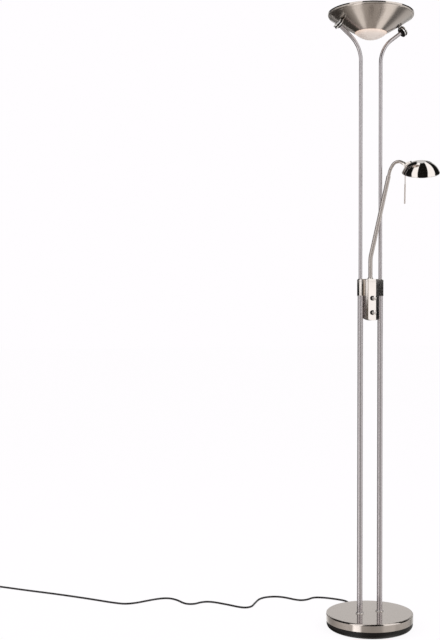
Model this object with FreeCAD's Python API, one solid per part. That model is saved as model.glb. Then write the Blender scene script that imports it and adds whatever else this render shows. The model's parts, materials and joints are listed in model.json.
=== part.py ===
import FreeCAD, Part
import math
import os

from FreeCAD import Placement, Rotation, Vector

# Torchiere floor lamp with a reading light.
# Two upright poles stand on a weighted round base. They pass through an oval
# collar, which carries two rotary dimmers and the swivelling reading arm, and
# then curve outwards to hold a shallow metal bowl with an opal glass dish.
# Millimetres. X runs along the pair of poles, -Y is the front with the knobs,
# +Z is up. The origin is the middle of the base, on the floor.

# ---------------------------------------------------------------- dimensions
HEIGHT = 1800.0                 # floor to the bowl's rim
POLE_SPACING = 65.0             # between the two pole axes
FIT = 0.1                       # radial gap of parts that are fixed together
RUN = 0.05                      # radial gap of parts that turn in each other

BASE_R = 127.0                  # pressed cover
BASE_TOP = 45.0
COVER_SKIRT_Z = 22.0
COVER_WALL = 1.2
COVER_EDGE_R = 3.0
FELT_T = 2.0
FELT_R = 113.0
PAN_FLOOR_T = 2.6
PAN_BOTTOM_R = 118.0
PAN_SIDE = (123.6, 6.4, 126.2, 13.0)        # the rounded foot of its side: middle and end
PAN_WALL = 2.6
PAN_BOSS_PITCH_R = 85.0
PAN_BOSS_ANGLES = (30.0, 150.0, 270.0)
WEIGHT_R = 115.0
WEIGHT_Z = 25.0
GLAND_WALL = (118.4, 122.8)     # the wall that the strain relief grips, along Y
GLAND_FLANGE_R = 6.8
GLAND_NECK_R = 5.4
GLAND_RIM_R = 6.2

LOWER_POLE_R = 8.0
LOWER_POLE_WALL = 1.2
LOWER_POLE_TOP = 990.0
UPPER_POLE_R = 5.5
UPPER_POLE_WALL = 1.0
UPPER_POLE_Z = 996.0
NIPPLE_R = 5.0

ARM_BEND_DROP = 142.6           # rim to where the poles start to curve out
ARM_BEND_R = 90.0
ARM_END_RISE = 38.0             # degrees above level at the pole's end
ARM_END_RUN = 43.5
FITTING_R = 15.5
FITTING_RIM_W = 3.6             # each of the fitting's two rims, and the groove between
FITTING_MIDDLE = 1.3            # pole end to the bowl's fixing, along the fitting
FITTING_CLEAR_R = 6.5           # the fixing starts here, outside the pole's end

BOWL_R = 126.0
BOWL_WALL = 1.0
BOWL_LIP = 4.0
BOWL_SHOULDER = (124.8, -8.4, 120.0, -11.6)
BOWL_SIDE_MID = (82.0, -36.7)
BOWL_OPENING = (47.0, -57.0)
GLASS_T = 3.0
BOWL_NIPPLE_R = 3.0
BRIDGE_OFF_WALL = (2.0, 3.5)    # the lamp strip's two faces, in from the bowl's outer face
GLASS_BOTTOM = -76.5            # below the rim

COLLAR_Z = 972.0
COLLAR_JOINT_Z = 1012.4         # the cap sits on the band here
COLLAR_TOP = 1021.0
COLLAR_R = 9.5                  # round each pole axis
COLLAR_WALL = 1.5
HOUSING_Z = 900.0
HOUSING_HALF_W = 23.5
HOUSING_FRONT = -18.5
HOUSING_BACK = 1.5
HOUSING_CORNER_R = 8.0
HOUSING_BELLY = 6.0             # how far the bottom edge bows down
KNOB_R = 7.2
KNOB_L = 8.4
KNOB_OFF_ANGLE = 135.0          # the pointer's turn from the top when the lamp is off
KNOB_HEIGHTS = {"upper": 965.0, "lower": 923.0}

ARM_AZIMUTH = -35.0             # plan direction of the reading arm, from +X
ARM_LEAN = 12.5                 # degrees off upright
ARM_LEAN_CORNER_Z = 1082.7
ARM_LEAN_R = 80.0
ARM_LOWER_R = 6.25
ARM_UPPER_R = 4.75
ARM_STEP_Z = 1322.0
ARM_EASE_Z = 1330.0
ARM_EASE_R = 70.0
ARM_EASE_TURN = 22.0
ARM_HOOK_R = 20.0
ARM_END_FALL = 31.0             # degrees below level at the arm's end
KNUCKLE_REACH = 8.5             # arm end to the tilt pivot

SHADE_R = 55.0
SHADE_H = 32.0
SHADE_FLAT_R = 12.0
SHADE_WALL = 0.9
SHADE_ROLL = 24.7               # the shade's top leans this far to the viewer
VIEWER_AZIMUTH = -117.0         # plan direction in which the shade leans
KNUCKLE_OUT = 50.0              # tilt pivot from the shade's axis
KNUCKLE_UP = 21.0               # tilt pivot above the shade's rim

CORD_R = 3.0
CORD_FLOOR = CORD_R             # height of the cord's middle on the floor
RELIEF_TIP = (0.0, 152.0, 12.0)
# From the strain relief to the coil: points that the cord bends past.
CORD_ROUTE = [
    RELIEF_TIP,
    (0.0, 179.0, 12.0),
    (13.0, 211.0, 5.0),
    (50.0, 240.0, CORD_FLOOR),
    (57.0, 272.0, CORD_FLOOR),
    (34.0, 307.0, CORD_FLOOR),
    (4.0, 338.0, CORD_FLOOR),
    (-25.0, 352.0, CORD_FLOOR),
    (-55.0, 332.0, CORD_FLOOR),
    (-84.0, 335.0, CORD_FLOOR),
    (-114.0, 394.0, CORD_FLOOR),
    (-150.0, 413.0, CORD_FLOOR),
    (-190.0, 405.0, CORD_FLOOR),
    (-224.0, 359.0, CORD_FLOOR),
    (-250.0, 320.0, CORD_FLOOR),
    (-279.0, 321.0, CORD_FLOOR),
    (-310.0, 374.0, CORD_FLOOR),
    (-349.0, 428.0, CORD_FLOOR),
    (-378.0, 433.0, CORD_FLOOR),
    (-406.0, 418.0, CORD_FLOOR),
    (-433.0, 431.0, CORD_FLOOR),
    (-442.0, 486.0, CORD_FLOOR),
    (-464.0, 521.0, CORD_FLOOR),
    (-507.0, 521.0, CORD_FLOOR),
    (-599.0, 491.0, CORD_FLOOR),
    (-643.0, 532.0, CORD_FLOOR),
    (-694.0, 595.0, CORD_FLOOR),
    (-749.0, 657.0, CORD_FLOOR),
    (-804.0, 716.0, CORD_FLOOR),
    (-864.0, 776.0, CORD_FLOOR),
    (-921.0, 837.0, CORD_FLOOR),
    (-973.0, 891.0, CORD_FLOOR),
    (-1002.0, 930.0, CORD_FLOOR),
]
COIL_TURNS = 2
COIL_OUTER_R = 36.0
COIL_INNER_R = 30.0
COIL_STEP = 6.6                 # from one layer of the coil to the next
TAIL_RUNS = (12.0, 30.0, 14.0)  # along the cord from the coil to the plug
PLUG_AXIS_Z = 7.0
PLUG_L = 34.0
PLUG_W = 35.0
PLUG_T = 13.6

POLE_X = {"left": -POLE_SPACING / 2, "right": POLE_SPACING / 2}
X_AXIS = Vector(1, 0, 0)
Y_AXIS = Vector(0, 1, 0)
Z_AXIS = Vector(0, 0, 1)
CENTRE = Vector(0, 0, 0)


# ------------------------------------------------------------------- helpers
def save(node, *solids):
    """Write one node: a single solid, or a group of like ones."""
    shape = solids[0] if len(solids) == 1 else Part.makeCompound(list(solids))
    shape.exportStep("parts/" + node + ".step")
    return shape


def cylinder(radius, length, base=CENTRE, axis=Z_AXIS):
    return Part.makeCylinder(radius, length, Vector(*base), axis)


def tube(outer, inner, length, base=CENTRE, axis=Z_AXIS):
    return cylinder(outer, length, base, axis).cut(cylinder(inner, length, base, axis))


def block(x, y, z):
    """A box from its (low, high) pairs."""
    corner = Vector(x[0], y[0], z[0])
    return Part.makeBox(x[1] - x[0], y[1] - y[0], z[1] - z[0], corner)


def outline(*steps):
    """A closed face from (a, b) points; a step of four numbers is an arc's middle and end."""
    edges = []
    here = steps[0]
    for step in steps[1:] + (steps[0],):
        end = step[-2:]
        if len(step) == 4:
            via = step[:2]
            edges.append(Part.Arc(flat(here), flat(via), flat(end)).toShape())
        else:
            edges.append(Part.LineSegment(flat(here), flat(end)).toShape())
        here = end
    return Part.Face(Part.Wire(edges))


def flat(point):
    return Vector(point[0], 0, point[1])


def turned(*steps):
    """A solid of revolution about Z from an outline of (radius, height) steps."""
    return outline(*steps).revolve(CENTRE, Z_AXIS, 360)


def plate(width, *steps):
    """An outline of (x, z) steps, extruded evenly both ways along Y."""
    face = outline(*steps)
    face.translate(Vector(0, -width / 2, 0))
    return face.extrude(Vector(0, width, 0))


def frame(origin, x_dir, z_dir):
    """A placement whose local X and Z lie along the two directions."""
    y_dir = z_dir.cross(x_dir)
    return Placement(origin, Rotation(x_dir, y_dir, z_dir, "ZXY"))


def placed(shape, placement):
    moved = shape.copy()
    moved.Placement = placement.multiply(moved.Placement)
    return moved


def along(axis, origin=CENTRE):
    """A placement that turns local Z into the given axis."""
    return Placement(Vector(*origin), Rotation(Z_AXIS, axis))


def mirrored(shape):
    return shape.mirror(CENTRE, X_AXIS)


def hexagon(across_flats, height, base=CENTRE, axis=Z_AXIS):
    corner_r = across_flats / math.sqrt(3)
    corners = [Vector(corner_r * math.cos(math.radians(60 * i)),
                      corner_r * math.sin(math.radians(60 * i)), 0) for i in range(7)]
    prism = Part.Face(Part.makePolygon(corners)).extrude(Vector(0, 0, height))
    return placed(prism, along(axis, base))


def screw(head_r, head_h, shank_r, shank_l):
    """A pan-head screw; the head sits under z = 0 and the shank rises from it."""
    head = turned((0, -head_h), (head_r * 0.7, -head_h),
                  (head_r * 0.95, -head_h * 0.75, head_r, -head_h * 0.35), (head_r, 0), (0, 0))
    slot = block((-head_r - 1, head_r + 1), (-0.4, 0.4), (-head_h - 1, -head_h * 0.55))
    return head.cut(slot).fuse(cylinder(shank_r, shank_l)).removeSplitter()


def corner_arc(before, corner, after, reach):
    """The arc that rounds a corner, tangent to both runs at the given reach from it."""
    start = corner + (before - corner).normalize() * reach
    end = corner + (after - corner).normalize() * reach
    chord_mid = (start + end) * 0.5
    half_chord = (end - start).Length / 2
    rise = (chord_mid - corner).Length
    radius = half_chord * reach / rise
    middle = corner + (chord_mid - corner) * ((math.hypot(radius, reach) - radius) / rise)
    return Part.Arc(start, middle, end).toShape(), start, end, radius


def rounded_edges(points):
    """Straight runs joined by arcs as large as the shorter run at each corner allows."""
    points = [Vector(*point) for point in points]
    edges, radii = [], []
    here = points[0]
    for before, corner, after in zip(points, points[1:], points[2:]):
        reach = 0.45 * min((corner - before).Length, (after - corner).Length)
        arc, start, end, radius = corner_arc(before, corner, after, reach)
        edges += [Part.LineSegment(here, start).toShape(), arc]
        radii.append(radius)
        here = end
    edges.append(Part.LineSegment(here, points[-1]).toShape())
    return edges, radii


def biarc(start, start_dir, end, end_dir):
    """Two arcs that join start to end with the given directions there."""
    span = end - start
    total = start_dir + end_dir
    lead = span.dot(total)
    turn = 2 * (1 - start_dir.dot(end_dir))
    reach = (-lead + math.sqrt(lead * lead + turn * span.dot(span))) / turn
    first, second = start + start_dir * reach, end - end_dir * reach
    joint = (first + second) * 0.5
    return [corner_arc(start, first, joint, reach)[0], corner_arc(joint, second, end, reach)[0]]


def swept(edges, radius):
    """A round solid swept along tangent edges."""
    path = Part.Wire(edges)
    first = edges[0]
    start = first.valueAt(first.FirstParameter)
    heading = first.tangentAt(first.FirstParameter)
    ring = Part.Wire(Part.Circle(start, heading, radius).toShape())
    return path.makePipeShell([ring], True, False)


def swept_tube(edges, outer, inner):
    return swept(edges, outer).cut(swept(edges, inner))


def report_sweep(name, solid, edges, radius, radii=()):
    length = sum(edge.Length for edge in edges)
    ideal = math.pi * radius ** 2 * length
    line = "%s: length %.1f mm, volume / ideal %.4f" % (name, length, solid.Volume / ideal)
    if radii:
        line += ", radii " + " ".join("%.0f" % value for value in radii)
    print(line)
    return length


# ---------------------------------------------------------------------- base
def at_poles(shape):
    """One copy of a shape round each pole's axis."""
    copies = []
    for x in POLE_X.values():
        copy = shape.copy()
        copy.translate(Vector(x, 0, 0))
        copies.append(copy)
    return copies


def cut_at_poles(shape, radius, z_low, z_high):
    return shape.cut(at_poles(cylinder(radius, z_high - z_low, (0, 0, z_low))))


def at_bosses(shape):
    copies = []
    for angle in PAN_BOSS_ANGLES:
        copy = shape.copy()
        copy.translate(Vector(PAN_BOSS_PITCH_R, 0, 0))
        copy.rotate(CENTRE, Z_AXIS, angle)
        copies.append(copy)
    return copies


def make_base():
    inner_r, inner_top = BASE_R - COVER_WALL, BASE_TOP - COVER_WALL
    bend = COVER_EDGE_R * (1 - math.sqrt(0.5))
    inner_bend_r = COVER_EDGE_R - COVER_WALL
    inner_bend = inner_bend_r * (1 - math.sqrt(0.5))
    cover = turned((0, BASE_TOP), (BASE_R - COVER_EDGE_R, BASE_TOP),
                   (BASE_R - bend, BASE_TOP - bend, BASE_R, BASE_TOP - COVER_EDGE_R),
                   (BASE_R, COVER_SKIRT_Z), (inner_r, COVER_SKIRT_Z),
                   (inner_r, inner_top - inner_bend_r),
                   (inner_r - inner_bend, inner_top - inner_bend, inner_r - inner_bend_r, inner_top),
                   (0, inner_top))
    save("base_cover", cut_at_poles(cover, NIPPLE_R + 3 * FIT, inner_top, BASE_TOP))

    weight = cylinder(WEIGHT_R, inner_top - WEIGHT_Z, (0, 0, WEIGHT_Z))
    weight = weight.cut(cylinder(16, inner_top - WEIGHT_Z, (0, 0, WEIGHT_Z)))
    weight = cut_at_poles(weight, NIPPLE_R + 3 * FIT, WEIGHT_Z, inner_top)
    save("base_weight", weight.cut(at_bosses(cylinder(2 + FIT, 12, (0, 0, WEIGHT_Z)))))

    floor_z = FELT_T + PAN_FLOOR_T
    side_mid_r, side_mid_z, side_r, side_z = PAN_SIDE
    lip_r, lip_z = inner_r - 0.3, COVER_SKIRT_Z + 7
    pan = turned((0, FELT_T), (PAN_BOTTOM_R, FELT_T), PAN_SIDE,
                 (side_r, COVER_SKIRT_Z - 0.2), (lip_r, COVER_SKIRT_Z - 0.2),
                 (lip_r, lip_z), (lip_r - 2, lip_z), (lip_r - 2, COVER_SKIRT_Z - 1),
                 (side_r - PAN_WALL, COVER_SKIRT_Z - 1), (side_r - PAN_WALL, side_z),
                 (side_mid_r - 1.8, side_mid_z + 1.9, PAN_BOTTOM_R - 1, floor_z), (0, floor_z))
    pan = pan.fuse(at_bosses(cylinder(6, WEIGHT_Z - floor_z, (0, 0, floor_z))))
    pan = pan.cut(at_bosses(cylinder(2.2, WEIGHT_Z, CENTRE)))
    pan = pan.cut(at_bosses(cylinder(4.2, 2.2, (0, 0, FELT_T))))
    save("base_pan", add_gland_seat(pan))
    save("base_felt", cylinder(FELT_R, FELT_T))

    pan_screw = screw(3.9, 2.0, 2.0, 32)
    pan_screw.translate(Vector(0, 0, FELT_T + 2.2))
    save("pan_screws", *at_bosses(pan_screw))


def add_gland_seat(pan):
    """Thicken the pan's rounded side at the back and drill it square for the strain relief."""
    gland_z, top_z = RELIEF_TIP[2], COVER_SKIRT_Z - 1.5
    outside = turned((0, FELT_T), (PAN_BOTTOM_R, FELT_T), PAN_SIDE,
                     (PAN_SIDE[2], COVER_SKIRT_Z - 1), (0, COVER_SKIRT_Z - 1))
    boss = block((-9.5, 9.5), (GLAND_WALL[0], BASE_R), (FELT_T + 1, top_z))
    pan = pan.fuse(boss.common(outside))
    inner_seat = cylinder(GLAND_FLANGE_R + FIT, 9, (0, GLAND_WALL[0] - 9, gland_z), Y_AXIS)
    outer_seat = cylinder(GLAND_RIM_R + FIT, 12, (0, GLAND_WALL[1], gland_z), Y_AXIS)
    hole = cylinder(GLAND_NECK_R + FIT, 12, (0, GLAND_WALL[0] - 2, gland_z), Y_AXIS)
    return pan.cut([inner_seat, outer_seat, hole]).removeSplitter()


def make_wiring():
    """Mains entry: moulded strain relief, clamp, terminal block and the inner cord."""
    tip_y, gland_z = RELIEF_TIP[1], RELIEF_TIP[2]
    wall_in, wall_out = GLAND_WALL
    inside_y = wall_in - 3
    relief = turned((0, inside_y), (GLAND_FLANGE_R, inside_y), (GLAND_FLANGE_R, wall_in),
                    (GLAND_NECK_R, wall_in), (GLAND_NECK_R, wall_out),
                    (GLAND_RIM_R, wall_out), (GLAND_RIM_R, wall_out + 2),
                    (GLAND_RIM_R - 0.9, wall_out + 3.2), (CORD_R + 0.7, tip_y), (0, tip_y))
    save("strain_relief", placed(relief, along(Y_AXIS, (0, 0, gland_z))))

    block_y, clamp_y = 66.0, 90.0
    save("inner_cord", cylinder(CORD_R, inside_y - block_y, (0, block_y, gland_z), Y_AXIS))
    floor_z = FELT_T + PAN_FLOOR_T
    clamp = block((-13, 13), (clamp_y - 4, clamp_y + 4), (floor_z, gland_z + 5))
    clamp = clamp.cut(cylinder(CORD_R + FIT, 8, (0, clamp_y - 4, gland_z), Y_AXIS))
    screw_spots = [(x, y, z) for x, y, z in
                   ((-9, clamp_y, gland_z + 5), (9, clamp_y, gland_z + 5), (0, 54, floor_z + 8))]
    holes = [cylinder(1.6, 30, (x, y, floor_z)) for x, y, z in screw_spots]
    save("cord_clamp", clamp.cut(holes[:2]).removeSplitter())
    terminals = block((-15, 15), (44, block_y), (floor_z, floor_z + 8))
    towers = [block((x - 5.5, x + 5.5), (46, block_y), (floor_z, gland_z + 6)) for x in (-9, 9)]
    terminals = terminals.fuse(towers).cut(holes[2]).removeSplitter()
    save("terminal_block", terminals)
    screws = []
    for x, y, z in screw_spots:
        pointing_down = Placement(Vector(x, y, z), Rotation(X_AXIS, 180))
        screws.append(placed(screw(2.6, 1.6, 1.5, z - floor_z - 0.4), pointing_down))
    save("wiring_screws", *screws)


# --------------------------------------------------------------------- poles
def make_lower_poles():
    inner_r = LOWER_POLE_R - LOWER_POLE_WALL
    for side, x in POLE_X.items():
        save("lower_pole_" + side,
             tube(LOWER_POLE_R, inner_r, LOWER_POLE_TOP - BASE_TOP, (x, 0, BASE_TOP)))
    save("pole_end_bushes", *at_poles(tube(inner_r - FIT, NIPPLE_R + FIT, 16, (0, 0, BASE_TOP + 0.2))))
    save("pole_nipples", *at_poles(tube(NIPPLE_R, 3.5, 48, (0, 0, 14))))
    nut = hexagon(16, 5, (0, 0, WEIGHT_Z - 6.5)).fuse(cylinder(11, 1.5, (0, 0, WEIGHT_Z - 1.5)))
    nut = nut.cut(cylinder(NIPPLE_R + FIT, 8, (0, 0, WEIGHT_Z - 7))).removeSplitter()
    save("pole_nuts", *at_poles(nut))
    ring_in = LOWER_POLE_R + FIT
    ring = turned((ring_in, BASE_TOP), (11.5, BASE_TOP), (11.5, BASE_TOP + 1.6),
                  (11.1, BASE_TOP + 2.7, 10, BASE_TOP + 3.2), (ring_in, BASE_TOP + 3.2))
    save("pole_foot_rings", *at_poles(ring))


def pole_arm_edges():
    """The right upper pole's middle line, from inside the collar to its raised end."""
    x = POLE_X["right"]
    bend_z = HEIGHT - ARM_BEND_DROP
    turn = math.radians(90 - ARM_END_RISE)
    half = turn / 2
    centre = Vector(x + ARM_BEND_R, 0, bend_z)
    bend_mid = centre + Vector(-math.cos(half), 0, math.sin(half)) * ARM_BEND_R
    bend_end = centre + Vector(-math.cos(turn), 0, math.sin(turn)) * ARM_BEND_R
    end = bend_end + fitting_axis() * ARM_END_RUN
    start, bend_start = Vector(x, 0, UPPER_POLE_Z), Vector(x, 0, bend_z)
    edges = [Part.LineSegment(start, bend_start).toShape(),
             Part.Arc(bend_start, bend_mid, bend_end).toShape(),
             Part.LineSegment(bend_end, end).toShape()]
    return edges, end


def fitting_axis():
    rise = math.radians(ARM_END_RISE)
    return Vector(math.cos(rise), 0, math.sin(rise))


def make_upper_poles():
    edges, _ = pole_arm_edges()
    pole = swept_tube(edges, UPPER_POLE_R, UPPER_POLE_R - UPPER_POLE_WALL)
    save("upper_pole_right", pole)
    save("upper_pole_left", mirrored(pole))

    spigot_r, body_r = LOWER_POLE_R - LOWER_POLE_WALL - FIT, 7.6
    seat_r = UPPER_POLE_R + FIT
    coupler = turned((4, LOWER_POLE_TOP - 18), (spigot_r, LOWER_POLE_TOP - 18),
                     (spigot_r, LOWER_POLE_TOP), (body_r, LOWER_POLE_TOP), (body_r, 1008),
                     (seat_r, 1008), (seat_r, UPPER_POLE_Z), (4, UPPER_POLE_Z))
    grub_z = 1002.0
    grub_hole = cylinder(1.6, 10, (0, seat_r - 1, grub_z), Y_AXIS)
    save("pole_couplers", *at_poles(coupler.cut(grub_hole)))
    grub = cylinder(1.5, body_r - seat_r + 1.4, (0, seat_r, grub_z), Y_AXIS)
    grub = grub.cut(hexagon(1.5, 1, (0, body_r + 0.5, grub_z), Y_AXIS))
    save("coupler_grub_screws", *at_poles(grub))


# -------------------------------------------------------------------- collar
def stadium(radius, z_low, z_high):
    """A flat-sided oval round both pole axes."""
    half = POLE_SPACING / 2
    middle = block((-half, half), (-radius, radius), (z_low, z_high))
    ends = [cylinder(radius, z_high - z_low, (x, 0, z_low)) for x in POLE_X.values()]
    return middle.fuse(ends).removeSplitter()


def housing_prism(z_low, z_high, inset=0.0):
    """The dimmer housing's plan shape: round front corners, square back ones."""
    half, radius = HOUSING_HALF_W - inset, HOUSING_CORNER_R - inset
    front, back = HOUSING_FRONT + inset, HOUSING_BACK
    corner = radius * (1 - math.sqrt(0.5))
    face = outline((-half, back), (-half, front + radius),
                   (-half + corner, front + corner, -half + radius, front),
                   (half - radius, front), (half - corner, front + corner, half, front + radius),
                   (half, back))
    face.rotate(CENTRE, X_AXIS, -90)
    face.translate(Vector(0, 0, z_low))
    return face.extrude(Vector(0, 0, z_high - z_low))


def bowed_floor(half, z_low, top):
    """What lies above the housing's bowed bottom edge, as a slab along Y."""
    rise = HOUSING_BELLY
    return plate(80, (-half, top), (-half, z_low + rise), (0, z_low, half, z_low + rise), (half, top))


def make_collar():
    band = stadium(COLLAR_R, COLLAR_Z, COLLAR_JOINT_Z)
    hollow = stadium(COLLAR_R - COLLAR_WALL, COLLAR_Z + 2, COLLAR_JOINT_Z)
    band = cut_at_poles(band.cut(hollow), LOWER_POLE_R + FIT, COLLAR_Z, COLLAR_Z + 2)
    grub_access = at_poles(cylinder(2, 6, (0, COLLAR_R - 3, 1002), Y_AXIS))
    save("collar_band", band.cut(grub_access))

    cap = stadium(COLLAR_R, COLLAR_JOINT_Z, COLLAR_TOP)
    tongue = housing_prism(COLLAR_JOINT_Z, COLLAR_TOP)
    cap = cap.fuse(tongue.common(block((-50, 50), (-50, 0), (COLLAR_JOINT_Z, COLLAR_TOP)))).removeSplitter()
    top_edges = [edge for edge in cap.Edges
                 if all(abs(vertex.Z - COLLAR_TOP) < 0.01 for vertex in edge.Vertexes)]
    cap = cap.makeChamfer(2.2, top_edges)
    groove = stadium(COLLAR_R + 1, COLLAR_JOINT_Z, COLLAR_JOINT_Z + 0.5)
    groove = groove.fuse(housing_prism(COLLAR_JOINT_Z, COLLAR_JOINT_Z + 0.5, -1))
    kept = stadium(COLLAR_R - 0.5, COLLAR_JOINT_Z, COLLAR_JOINT_Z + 0.5)
    kept = kept.fuse(housing_prism(COLLAR_JOINT_Z, COLLAR_JOINT_Z + 0.5, 0.5))
    cap = cap.cut(groove.cut(kept))
    cap = cut_at_poles(cap, UPPER_POLE_R + FIT, COLLAR_JOINT_Z, COLLAR_TOP)
    bush_r = 7.7
    save("collar_cap", cap.cut(cylinder(bush_r + FIT, 10, (0, 0, COLLAR_JOINT_Z))).removeSplitter())

    bush_z = 990.0
    bush = tube(bush_r, ARM_LOWER_R + RUN, COLLAR_TOP - bush_z, (0, 0, bush_z))
    save("arm_bush", bush)


def make_dimmer():
    wall = 1.5
    outside = housing_prism(HOUSING_Z, COLLAR_JOINT_Z)
    outside = outside.common(bowed_floor(HOUSING_HALF_W, HOUSING_Z, COLLAR_JOINT_Z))
    inside = housing_prism(HOUSING_Z, COLLAR_JOINT_Z - wall, wall)
    inside = inside.common(bowed_floor(HOUSING_HALF_W - wall, HOUSING_Z + wall, COLLAR_JOINT_Z - wall))
    behind_y = -COLLAR_R - FIT
    collar_room = block((-50, 50), (behind_y, 20), (COLLAR_Z - 0.2, COLLAR_TOP))
    shell = outside.cut(inside).cut(collar_room)
    back_wall = block((-HOUSING_HALF_W + wall, HOUSING_HALF_W - wall), (behind_y - wall, behind_y),
                      (COLLAR_Z - 0.2, COLLAR_JOINT_Z))
    roof = block((-HOUSING_HALF_W + wall, HOUSING_HALF_W - wall), (behind_y - wall, HOUSING_BACK),
                 (COLLAR_Z - 0.2 - wall, COLLAR_Z - 0.2))
    shell = shell.fuse([back_wall, roof])
    bush_hole_r = 3.6
    shell = shell.cut([cylinder(bush_hole_r, 6, (0, HOUSING_FRONT - 2, z), Y_AXIS)
                       for z in KNOB_HEIGHTS.values()])
    save("dimmer_housing", shell.removeSplitter())

    cover_half, cover_t = HOUSING_HALF_W - wall - FIT, 1.4
    cover_top = COLLAR_Z - 0.2 - wall - FIT
    cover = block((-cover_half, cover_half), (HOUSING_BACK - cover_t, HOUSING_BACK),
                  (HOUSING_Z, cover_top))
    cover = cover.common(bowed_floor(cover_half, HOUSING_Z + wall + FIT, cover_top))
    screw_heights = (912.0, 944.0)
    cover = cover.cut([cylinder(1.6, 8, (0, HOUSING_BACK - 4, z), Y_AXIS) for z in screw_heights])
    save("dimmer_back_cover", cover)
    screws = [placed(screw(2.8, 1.5, 1.5, 3.6), Placement(Vector(0, HOUSING_BACK, z), Rotation(X_AXIS, 90)))
              for z in screw_heights]
    save("back_cover_screws", *screws)

    board_y = -3.6
    board = block((-17, 17), (board_y, board_y + 1.4), (908, 968))
    save("dimmer_board", board.cut([cylinder(1.8, 3, (0, board_y - 1, z), Y_AXIS) for z in screw_heights]))
    shaft_r, unit_front = 3.0, HOUSING_FRONT + wall
    units = []
    for z in KNOB_HEIGHTS.values():
        can = block((-8, 8), (unit_front, board_y), (z - 6.4, z + 5))
        neck = cylinder(bush_hole_r - FIT, 2.0, (0, HOUSING_FRONT - 0.3, z), Y_AXIS)
        bore = cylinder(shaft_r + RUN, 9, (0, HOUSING_FRONT - 2, z), Y_AXIS)
        units.append(can.fuse(neck).cut(bore).removeSplitter())
    save("dimmer_units", *units)

    knob_back = HOUSING_FRONT - 0.6
    for name, z in KNOB_HEIGHTS.items():
        knob = turned((shaft_r, 0), (4.6, 0), (4.6, 1.6), (5.6, 1.6), (5.6, 0), (KNOB_R - 0.3, 0),
                      (KNOB_R, 0.4), (KNOB_R, KNOB_L - 1.2),
                      (KNOB_R - 0.35, KNOB_L - 0.35, KNOB_R - 1.2, KNOB_L), (0, KNOB_L),
                      (0, KNOB_L - 2), (shaft_r, KNOB_L - 2))
        pointer = block((-0.35, 0.35), (3.2, KNOB_R), (KNOB_L - 0.5, KNOB_L + 1))
        pointer.rotate(CENTRE, Z_AXIS, KNOB_OFF_ANGLE)
        to_front = Placement(Vector(0, knob_back, z), Rotation(X_AXIS, 90))
        save("dimmer_knob_" + name, placed(knob.cut(pointer), to_front))
        shaft_l = KNOB_L - 2.2 + 7.4
        shaft_base = (0, knob_back - (KNOB_L - 2.2), z)
        save("dimmer_shaft_" + name, cylinder(shaft_r - FIT / 4, shaft_l, shaft_base, Y_AXIS))


# --------------------------------------------------------------- reading arm
ARM_DIR = Vector(math.cos(math.radians(ARM_AZIMUTH)), math.sin(math.radians(ARM_AZIMUTH)), 0)


def arm_point(reach, z):
    return ARM_DIR * reach + Vector(0, 0, z)


def heading(degrees):
    """A direction in the arm's plane, from level outwards."""
    angle = math.radians(degrees)
    return ARM_DIR * math.cos(angle) + Z_AXIS * math.sin(angle)


def falling_arc(start, entry, turn, radius):
    """An arc in the arm's plane that starts at a heading and turns towards the floor."""
    centre = start + heading(entry - 90) * radius
    middle = centre + heading(entry + 90 - turn / 2) * radius
    end = centre + heading(entry + 90 - turn) * radius
    return Part.Arc(start, middle, end).toShape(), end


def arm_line():
    """Edges of the lower and upper arm tubes, and the point where the arm ends."""
    slope = math.tan(math.radians(ARM_LEAN))
    reach = ARM_LEAN_R * math.tan(math.radians(ARM_LEAN / 2))
    foot, corner = arm_point(0, 982), arm_point(0, ARM_LEAN_CORNER_Z)
    step = arm_point((ARM_STEP_Z - ARM_LEAN_CORNER_Z) * slope, ARM_STEP_Z)
    lean, lean_start, lean_end, _ = corner_arc(foot, corner, step, reach)
    lower = [Part.LineSegment(foot, lean_start).toShape(), lean,
             Part.LineSegment(lean_end, step).toShape()]
    upper_start = step - heading(90 - ARM_LEAN) * 14
    ease_start = arm_point((ARM_EASE_Z - ARM_LEAN_CORNER_Z) * slope, ARM_EASE_Z)
    ease, ease_end = falling_arc(ease_start, 90 - ARM_LEAN, ARM_EASE_TURN, ARM_EASE_R)
    entry = 90 - ARM_LEAN - ARM_EASE_TURN
    hook, end = falling_arc(ease_end, entry, entry + ARM_END_FALL, ARM_HOOK_R)
    upper = [Part.LineSegment(upper_start, ease_start).toShape(), ease, hook]
    return lower, upper, end


ARM_END = arm_line()[2]
ARM_END_DIR = heading(-ARM_END_FALL)
KNUCKLE = ARM_END + ARM_END_DIR * KNUCKLE_REACH


def shade_axes():
    """The shade's axis, its direction away from the knuckle, and the tilt pivot's axis."""
    roll, towards = math.radians(SHADE_ROLL), math.radians(VIEWER_AZIMUTH)
    up = Z_AXIS * math.cos(roll) + Vector(math.cos(towards), math.sin(towards), 0) * math.sin(roll)
    out = (ARM_END_DIR - up * ARM_END_DIR.dot(up)).normalize()
    return up, out, up.cross(out)


SHADE_UP, SHADE_OUT, PIVOT_AXIS = shade_axes()
RIM_CENTRE = KNUCKLE + SHADE_OUT * KNUCKLE_OUT - SHADE_UP * KNUCKLE_UP
SHADE_FRAME = frame(RIM_CENTRE, SHADE_OUT, SHADE_UP)
SOCKET_FACE = -6.6              # along the arm's end direction, from the knuckle
CLEVIS_R = 5.2
EAR_R = 4.6
SLOT_HALF = 1.65
PIVOT_R = 1.5


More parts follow.
